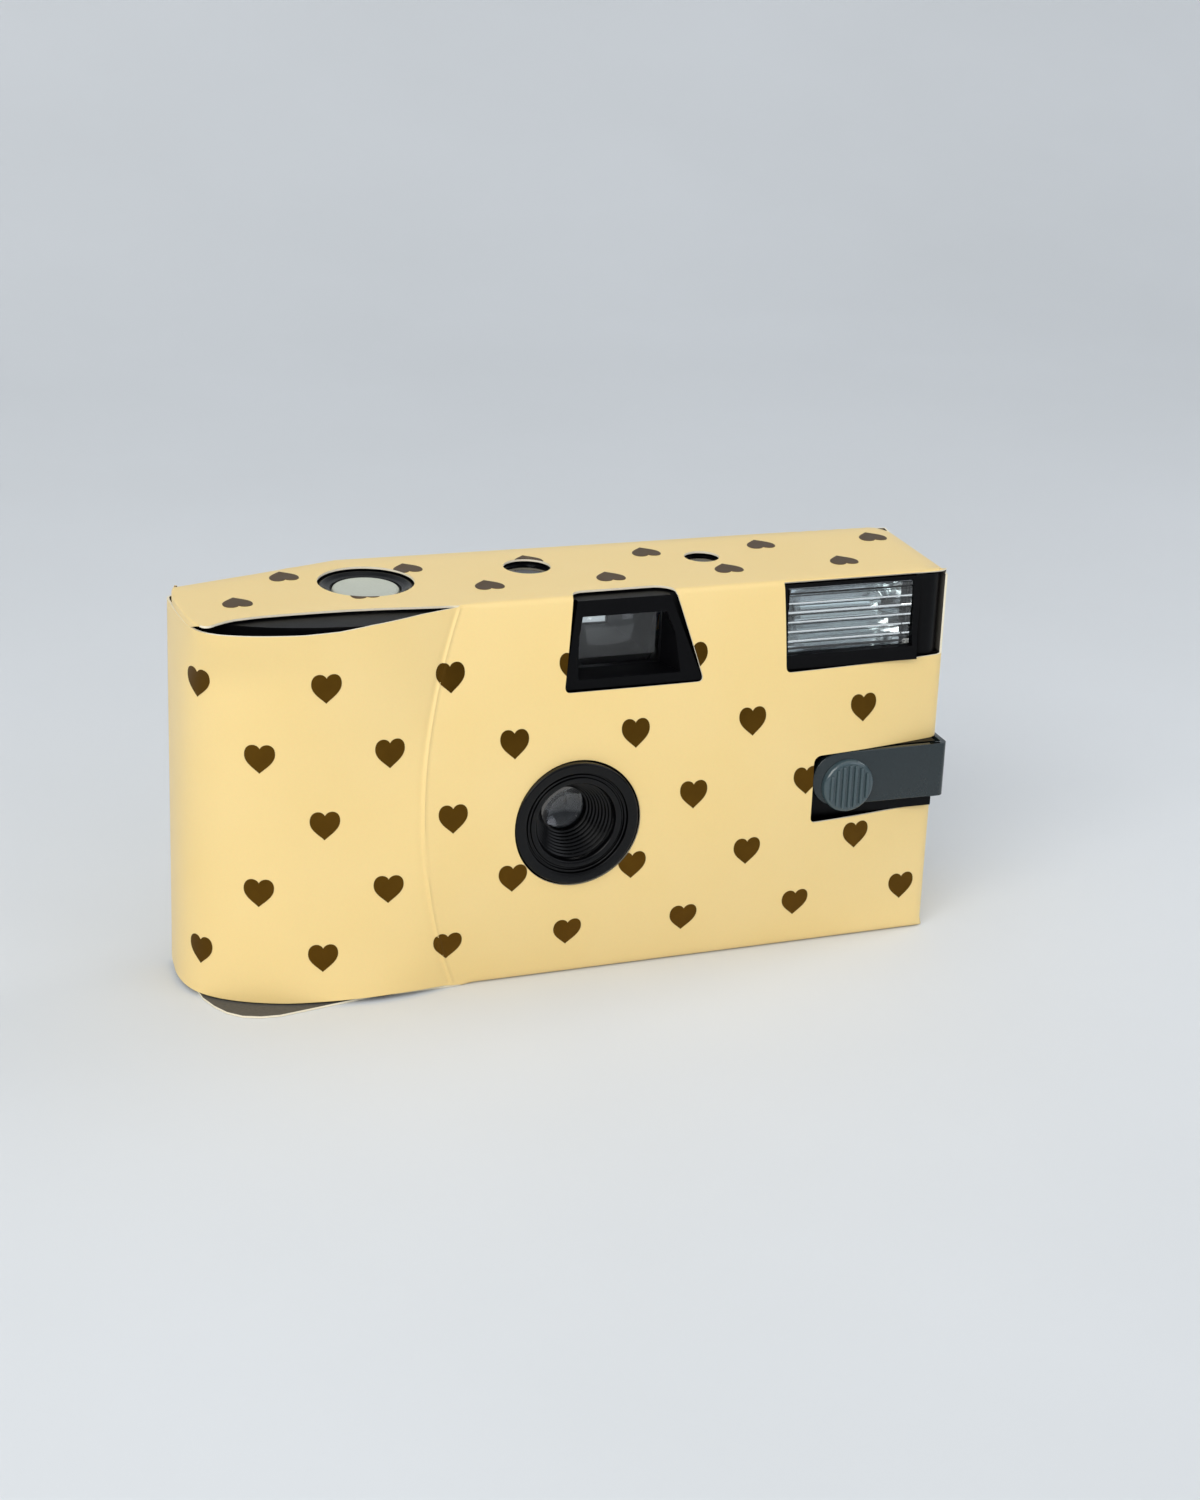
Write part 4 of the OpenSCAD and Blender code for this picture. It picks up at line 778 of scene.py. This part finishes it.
fold_offsets = np.array([-0.9, -0.6, -0.35, -0.12, 0.12, 0.35, 0.6, 0.9])
crease_offsets = np.array([-1.5, -1.1, -0.85, -0.6, -0.4, -0.2, -0.1, 0.0, 0.1, 0.2, 0.4, 0.7, 1.2])
across, up_steps = np.arange(FLANK_X, RIGHT_X, 1.4), np.arange(1.5, TOP_Z - 1, 1.2)
filling = [grid(S_START, RIGHT_X + 2, 1.5, TOP_Z - 1.2, 1.4), grid(RIGHT_X + 3, S_END, 2, TOP_Z - 1, 5),
           grid(-57, RIGHT_X, TOP_Z + 1.4, TOP_Z + 27, 2.5), grid(-58, RIGHT_X, -31, -1.4, 4)]
filling += [np.stack([across, 0 * across + TOP_Z + d], 1) for d in fold_offsets]
filling += [np.stack([across, 0 * across + d * 0.66], 1) for d in fold_offsets]
for corner, wide in ((RIGHT_X, 1.9), (S_BACK, 1), (S_KINK, 1)):
    filling += [np.stack([0 * up_steps + corner + d * wide, up_steps], 1) for d in fold_offsets]
fine_steps = np.arange(0.9, TOP_Z - 0.6, 0.3)
filling += [np.stack([crease_x(fine_steps) + d, fine_steps], 1) for d in crease_offsets]
flat, faces = die_cut(outline, holes, np.concatenate(filling), 0.1)
points, front, back, walls = skins(flat, faces, -CARD - FOIL_ROOM, -FOIL_ROOM)
# The inner skin takes the grey back, which is darkened as painted shade.
card = piece("card_wrap", points, front + back + walls, [coated_card, board_core, grey_back_painted_shade], "camera",
             [0] * len(front) + [2] * len(back) + [1] * len(walls), 50)
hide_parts("card_sleeve")

# %% [markdown]
# ## Tuck flap
# At the grip end the top panel folds down and is tucked in behind the wrap, so only a narrow wedge
# of it shows. It is a strip along the panel's left edge that rolls over a small radius.

# %% Tuck flap
def tucked(q, d):
    """Point of the flap: q runs along the fold, d is the distance beyond it."""
    roll = 0.02 + 0.3 * smooth_step(q / 0.15) * smooth_step((1 - q) / 0.1)
    d = d * (0.05 + 0.95 * smooth_step(q / 0.25))
    turn = np.minimum(d / roll, np.pi / 2)
    out = roll * np.sin(turn)
    down = roll * (1 - np.cos(turn)) + np.maximum(d - roll * np.pi / 2, 0)
    x, y = panel_end(q)
    return np.stack([x - out, y, TOP_Z - down], -1)


across_q, beyond = np.meshgrid(np.linspace(TIP_Q, 1, 40), np.linspace(0, 1.4, 12), indexing="ij")
outer = tucked(across_q, beyond)
step_q, step_d = tucked(across_q + 1e-3, beyond) - outer, tucked(across_q, beyond + 1e-3) - outer
lean = np.cross(step_q, step_d)
lean /= np.linalg.norm(lean, axis=-1, keepdims=True)
rows, columns = across_q.shape
layers = [(outer - lean * k).reshape(-1, 3) for k in (FOIL_ROOM, FOIL_ROOM + CARD)]
face_up, walls = quads(rows, columns, flip=True), rim_walls(rows, columns)
face_down = [tuple(i + rows * columns for i in q[::-1]) for q in face_up]
flap = piece("tuck_flap", np.concatenate(layers), face_up + face_down + walls, [coated_card, grey_back_painted_shade],
             "camera", [0] * len(face_up) + [1] * len(face_down) + [0] * len(walls), 50)

# %% [markdown]
# ## Foil hearts
# The hearts lie on a diagonal grid of 19 by 10.45 mm, and the die cuts through some of them. Each
# is a thin plate of foil on the folded card, made by the same sheet maker, so it bends with the
# card. A painted mask would do for a flat picture, but real foil has an edge and its own mirror.

# %% Foil hearts
HEART_W, HEART_H = 4.45, 4.5
HEART_STEP, HEART_ROW = 19, 10.45


def bow(a, b, c, d, count):
    t = np.linspace(0, 1, count)[:, None]
    a, b, c, d = [np.array(p, float) for p in (a, b, c, d)]
    return (1 - t) ** 3 * a + 3 * t * (1 - t) ** 2 * b + 3 * t * t * (1 - t) * c + t ** 3 * d


flank = bow((0, -0.5), (0.19, -0.31), (0.5, -0.14), (0.5, 0.16), 12)
lobe = bow((0.5, 0.16), (0.5, 0.56), (0.09, 0.55), (0, 0.34), 14)
right_half = np.concatenate([flank, lobe[1:]])
heart_shape = np.concatenate([right_half, right_half[-2:0:-1] * [-1, 1]]) * [HEART_W, HEART_H]
spots = [(-21.8 + HEART_STEP * k + (HEART_STEP / 2 if r % 2 else 0), 49.7 - HEART_ROW * r, 1)
         for r in range(5) for k in range(-3, 12)]
# The grip's end is bare between its rows, and the print climbs a little round the grip.
spots = [p for p in spots if S_START + 4 < p[0] < S_END - 3 and not (p[0] < -55 and 12 < p[1] < 48)]
spots = [(s, v + (0.45 * min(1, max(0, (v - 10) / 40)) if s < CREST_X else 0), way) for s, v, way in spots]
for x, y in ((-50.8, -1.6), (-41.3, 8.85)):
    spots += [(*on_top(x + HEART_STEP * k, y), -1) for k in range(6)]
cutters = holes + [flash_hole]


def heart_sheet(s, v, way):
    loop = heart_shape * [way, way] + [s, v]
    near = [c for c in cutters if np.ptp(np.array(c)[:, 0]) and
            np.abs(np.mean(c, axis=0) - [s, v]).max() < np.ptp(np.array(c), axis=0).max() / 2 + 4]
    on_crease = way > 0 and abs(s - float(crease_x(v))) < 5
    inner = grid(s - 2.4, s + 2.4, v - 2.4, v + 2.4, 0.2 if on_crease else 0.7)
    return die_cut([tuple(p) for p in loop], near, inner, 0.2)


all_points, all_faces, base = [], [], 0
for s, v, way in spots:
    flat, faces = heart_sheet(s, v, way)
    if not len(faces):
        continue
    points, front, back, walls = skins(flat, faces, -FOIL_ROOM - 0.02, -0.005)
    all_points.append(points)
    all_faces += [tuple(i + base for i in f) for f in front + back + walls]
    base += len(points)
piece("foil_hearts", np.concatenate(all_points), all_faces, [foil], "camera", None, 50)

# %% [markdown]
# ## Lens bezel
# A black ring stands a little proud of the card. Inside its rim runs a low ridge, and then fine
# steps lead down to the lens: they keep stray light from the glass. A turned profile gives all of
# this in one go. The lens is a meniscus, with a hollow front and a domed back.

# %% Lens bezel and lens
BEZEL_Y, LENS_Y, LENS_R = -16.0, -6.92, 3.44
stairs = []
for i in range(9):
    r, y = 6.05 - 2.5 * i / 8, 1.5 + 4.8 * i / 8
    stairs += [(r, y), (r - 0.02, y + 0.5)]
steps = rounded_profile(stairs, [0] + [0.09, 0.03] * 8 + [0], 4)
bezel_profile = rounded_profile(
    [(9.6, 1.8), (9.6, 0.12), (9.3, 0.0), (8.05, 0.2), (7.95, 0.7), (7.75, 0.7), (7.7, 0.3), (7.5, 0.3),
     (7.45, 0.75), (7.2, 0.75), (7.1, 0.45), (6.3, 0.6), (6.1, 1.0)],
    [0.05, 0.08, 0.1, 0.06, 0.05, 0.05, 0.05, 0.05, 0.05, 0.05, 0.06, 0.1, 0.08], 4)
bezel_profile += steps + [(3.45, 7.3), (7.9, 7.3), (7.9, 1.8)]
points, faces = turned(bezel_profile, (LENS[0], BEZEL_Y, LENS[1]), "y", 128)
bezel = piece("stepped_lens_ring", points, faces, [black_smooth], "camera", None, 28)
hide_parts("lens_bezel")
hollow = [(LENS_R * t, -0.52 - 0.85 * t * t) for t in np.linspace(0.001, 1, 16)]
dome = [(LENS_R * (1 - t) + 0.003, -0.02 - 0.98 * (1 - t) ** 2) for t in np.linspace(0, 1, 16)]
points, faces = turned(hollow + dome, (LENS[0], LENS_Y, LENS[1]), "y", 64)
lens_glass = piece("meniscus_lens", points, faces, [lens_acrylic], "camera", None, 50)
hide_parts("taking_lens")

# %% [markdown]
# ## Solids with soft edges
# Moulded blocks never have sharp edges. This helper extrudes an outline and rounds its edges with
# a bevel, which is applied to the mesh at once.

# %% Helper for moulded blocks
def extruded(loop, low, high, axis, edge, segments=3):
    """Points and faces of an outline pulled along an axis, with rounded edges."""
    shape = bmesh.new()
    order = {"y": lambda p, h: (p[0], h, p[1]), "z": lambda p, h: (p[0], p[1], h),
             "x": lambda p, h: (h, p[0], p[1])}[axis]
    ends = [[shape.verts.new(order(p, h)) for p in loop] for h in (low, high)]
    shape.faces.new(ends[0])
    shape.faces.new(ends[1])
    for i in range(len(loop)):
        j = (i + 1) % len(loop)
        shape.faces.new((ends[0][i], ends[0][j], ends[1][j], ends[1][i]))
    bmesh.ops.recalc_face_normals(shape, faces=shape.faces)
    if edge:
        caps = {f for f in shape.faces if len(f.verts) == len(loop)}
        rims = [e for e in shape.edges if any(f in caps for f in e.link_faces)]
        bmesh.ops.bevel(shape, geom=rims, offset=edge, segments=segments, profile=0.5, affect="EDGES",
                        clamp_overlap=True)
    shape.verts.index_update()
    points = [tuple(v.co) for v in shape.verts]
    faces = [[v.index for v in f.verts] for f in shape.faces]
    shape.free()
    return points, faces


def gather(parts):
    """Joins several (points, faces) into one."""
    points, faces = [], []
    for p, f in parts:
        faces += [[i + len(points) for i in face] for face in f]
        points += list(p)
    return points, faces


print("block helper ready")

# %% [markdown]
# ## Flash slider
# A slate plate slides in the window at the right and hooks round the end of the camera. Its round
# knob has seven upright ribs, so that a thumb can push it sideways.

# %% Flash slider
KNOB, KNOB_R = (42.6, 26.9), 4.25
RIB_STEP, RIB_HALF = 0.98, 0.24
mid_z, half = 27.95, 4.35
left_end = [(36.8 + half - half * math.sin(a), mid_z + half * math.cos(a))
            for a in np.linspace(0, math.pi, 25)]
plate = extruded(left_end + [(58.2, mid_z - half), (58.2, mid_z + half)], -12.4, -11.4, "y", 0.2)
hook_plan = rounded_profile([(56.5, -12.41), (59.4, -12.41), (59.4, -6.4), (58.6, -6.4), (58.6, -11.4),
                             (56.5, -11.4)], [0.05, 1.3, 0.3, 0.3, 0.5, 0.05], 9)
hook = extruded(hook_plan, mid_z - half, mid_z + half, "z", 0.2)
stem_plan = rounded_profile([(39.9, 25.7), (44.3, 25.7), (44.3, 29.3), (39.9, 29.3)], 0.4)
stem = extruded(stem_plan, -11.45, -10.0, "y", 0.1)
slider = piece("slate_slider", *gather([plate, hook, stem]), [slate_abs], "slider")
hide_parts("flash_slider")
knob_corners = [(0.02, 0.4), (KNOB_R, 0.4), (KNOB_R, 2.35), (0.02, 2.35)]
knob_profile = rounded_profile(knob_corners, [0, 0.9, 0.05, 0], 9)
knob_parts = [turned(knob_profile, (KNOB[0], -13.8, KNOB[1]), "y", 72)]
for i in range(-3, 4):
    x, reach = KNOB[0] + i * RIB_STEP, math.sqrt((KNOB_R - 0.6) ** 2 - (i * RIB_STEP) ** 2) - 0.1
    bar = [(x - RIB_HALF, KNOB[1] - reach), (x + RIB_HALF, KNOB[1] - reach),
           (x + RIB_HALF, KNOB[1] + reach), (x - RIB_HALF, KNOB[1] + reach)]
    knob_parts.append(extruded(rounded_profile(bar, 0.22, 5), -13.79, -13.2, "y", 0.14))
# The knob's lighter slate is a painted highlight on the same slate ABS as the plate.
knob = piece("ribbed_knob", *gather(knob_parts), [slate_knob_painted_highlight], "slider")

# %% [markdown]
# ## Shutter button
# The pale button sits in a black dished collar under the card's round hole. Its face is slightly
# hollow, to guide the finger.

# %% Shutter button
BUTTON = (-30.0, 3.9)
button_profile = [(0.02, 58.55)] + [(4.3 * t, 58.55 + 0.16 * t * t) for t in np.linspace(0.1, 1, 8)]
button_profile += rounded_profile([(4.3, 58.71), (4.62, 58.8), (5.0, 58.55), (5.0, 57.9)],
                                  [0, 0.3, 0.3, 0])[1:-1]
button_profile += [(5.0, 57.9), (5.8, 57.9), (5.8, 57.2), (0.8, 57.2), (0.8, 55.6), (0.02, 55.6)]
points, faces = turned(button_profile, (*BUTTON, 0), "z", 72)
button = piece("pale_button", points, faces, [pale_abs], "button")
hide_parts("shutter_button")
collar_profile = rounded_profile(
    [(6.98, 58.5), (6.98, 59.05), (6.6, 59.1), (5.9, 58.72), (5.3, 58.62), (5.3, 58.5)],
    [0, 0.1, 0.15, 0.15, 0.08, 0])
points, faces = turned(collar_profile, (*BUTTON, 0), "z", 72)
collar = piece("button_collar", points, faces, [black_smooth], "camera")

# %% [markdown]
# ## Flash
# Behind a clear window with moulded cross ribs lies a bright trough with the flash tube. The ribs
# spread the light, and they draw the reflector out into level streaks.

# %% Flash window and reflector
FLASH_X0, FLASH_X1, FLASH_Z0, FLASH_Z1 = 32.05, 52.35, 48.45, 58.35
LENS_BACK, GROOVES, PITCH = -8.1, 6, 1.5
lens_side = [(-10.0, FLASH_Z0), (-10.0, FLASH_Z1), (LENS_BACK, FLASH_Z1)]
for i in range(GROOVES):
    z = (FLASH_Z0 + FLASH_Z1) / 2 + (2.5 - i) * PITCH
    lens_side += [(LENS_BACK - cut, z + dz) for cut, dz in ((0, 0.3), (0.42, 0.08), (0.42, -0.08), (0, -0.3))]
lens_side += [(LENS_BACK, FLASH_Z0)]
points, faces = extruded(lens_side[::-1], FLASH_X0, FLASH_X1, "x", 0)
flash_window = piece("ribbed_flash_window", points, faces, [clear_window], "camera", None, 30)
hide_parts("flash_lens")
TROUGH_Y, TROUGH_DEEP, TROUGH_HALF, MID_Z = -7.7, 4.7, 4.75, 53.4
rise = np.linspace(-TROUGH_HALF, TROUGH_HALF, 11)
stations = [(33.0, 0.12), (34.1, 0.55), (35.4, 0.9), (36.4, 1.0), (48.0, 1.0), (49.0, 0.9), (50.3, 0.55),
            (51.4, 0.12)]
inner = [[(x, TROUGH_Y + TROUGH_DEEP * deep * (1 - (h / TROUGH_HALF) ** 2), MID_Z + h) for h in rise]
         for x, deep in stations]
outer_skin = [[(x, y + 0.3, z) for x, y, z in row] for row in inner]
grid_points = [p for row in inner + outer_skin for p in row]
trough_faces = quads(len(stations), len(rise))
trough_faces += quads(len(stations), len(rise), len(stations) * len(rise), True)
reflector = piece("polished_trough", grid_points, trough_faces, [mirror_sheet], "camera", None, 12)
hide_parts("flash_reflector")

# %% [markdown]
# ## Viewfinder glass
# The front glass of the finder is hollow at the back, like a weak door viewer. It makes the scene
# small for the eye behind it, and from outside it shows the bright eyepiece as a small patch. A
# flat pane would show only the dark tunnel wall.

# %% Viewfinder glass
FINDER = (5.6, 52.2)
columns, rows = np.linspace(-7.15, 7.15, 33), np.linspace(-4.55, 4.55, 23)
glass_points = []
for side in (0, 1):
    for dz in rows:
        for dx in columns:
            y = min(-5.4, -7.1 + (dx * dx + dz * dz) / 34) if side else -7.68
            glass_points.append((FINDER[0] + dx, y, FINDER[1] + dz))
high, wide = len(rows), len(columns)
glass_faces = quads(high, wide) + quads(high, wide, high * wide, True) + rim_walls(high, wide)
finder_glass = piece("hollow_finder_glass", glass_points, glass_faces, [clear_window], "camera", None, 40)
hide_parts("viewfinder_objective")

# %% [markdown]
# ## Frame counter
# Under a small round window turns a white dial with plain numbers. They are made as text, turned
# to mesh, and ride on the dial.

# %% Frame counter
DIAL, DIAL_R, DIAL_TOP = (0.363, 3.602), 5.2, 57.7
ink_black = moulded("black_printing_ink", "#0B0B0B", "#151515", 0.6, 0.4, 0.05, 1.5)
for i in range(8):
    angle = math.pi - math.radians(25) + i * math.pi / 4
    words = bpy.data.curves.new(f"count_{4 * i}", "FONT")
    words.body, words.size, words.align_x, words.align_y = str(4 * i), 1.9 * MM, "CENTER", "CENTER"
    words.extrude = 0.01 * MM
    holder = bpy.data.objects.new("holder", words)
    bpy.context.scene.collection.objects.link(holder)
    x, y = DIAL[0] + DIAL_R * math.cos(angle), DIAL[1] + DIAL_R * math.sin(angle)
    holder.location = Vector((x, y, DIAL_TOP + 0.02)) * MM
    holder.rotation_euler = (0, 0, angle + math.pi / 2)
    bpy.context.view_layer.update()
    data = bpy.data.meshes.new_from_object(holder.evaluated_get(bpy.context.evaluated_depsgraph_get()))
    data.transform(holder.matrix_world)
    bpy.data.objects.remove(holder)
    number = bpy.data.objects.new(f"count_{4 * i}", data)
    data.materials.clear()
    data.materials.append(ink_black)
    bpy.context.scene.collection.objects.link(number)
    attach(number, "counter")
print("dial numbers", [4 * i for i in range(8)])

# %% [markdown]
# ## Finishes of the CAD pieces
# The remaining pieces have the right shape already and only need their materials.

# %% Finishes
finishes = {
    black_body: ["front_cover", "rear_cover"],
    black_smooth: ["thumb_wheel"],
    grey_black: ["lens_retainer"],
    black_frame: ["main_frame", "cassette_spool", "supply_spool", "shutter_blade"],
    cream_acetal: ["shutter_striker", "release_lever", "sprocket_shaft", "metering_cam"],
    dial_white: ["counter_dial"],
    clear_window: ["viewfinder_eyepiece"],
    smoke_window: ["counter_window", "lamp_light_pipe"],
    tube_glass: ["flash_tube"],
    spring_steel: ["blade_spring", "striker_spring", "release_spring", "battery_contact_positive",
                   "battery_contact_negative"],
    cassette_tin: ["cassette_shell", "cassette_top_cap", "cassette_bottom_cap"],
    felt_black: ["cassette_felt"],
    film_base: ["film_strip", "film_roll"],
    glass_board: ["flash_board"],
    epoxy_black: ["flash_capacitor", "board_components"],
    winding_tape: ["flash_transformer", "trigger_coil"],
    lamp_glass: ["ready_lamp"],
    cell_wrap: ["battery_cell"],
    contact_copper: ["slider_contact", "sync_contacts"],
}
for finish, names in finishes.items():
    for name in names:
        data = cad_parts[name].data
        data.materials.clear()
        data.materials.append(finish)
print("finished nodes", sum(len(n) for n in finishes.values()))

# %% Finish
low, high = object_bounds()
print("visual box, mm:", [round(c / MM, 2) for c in (high - low)])
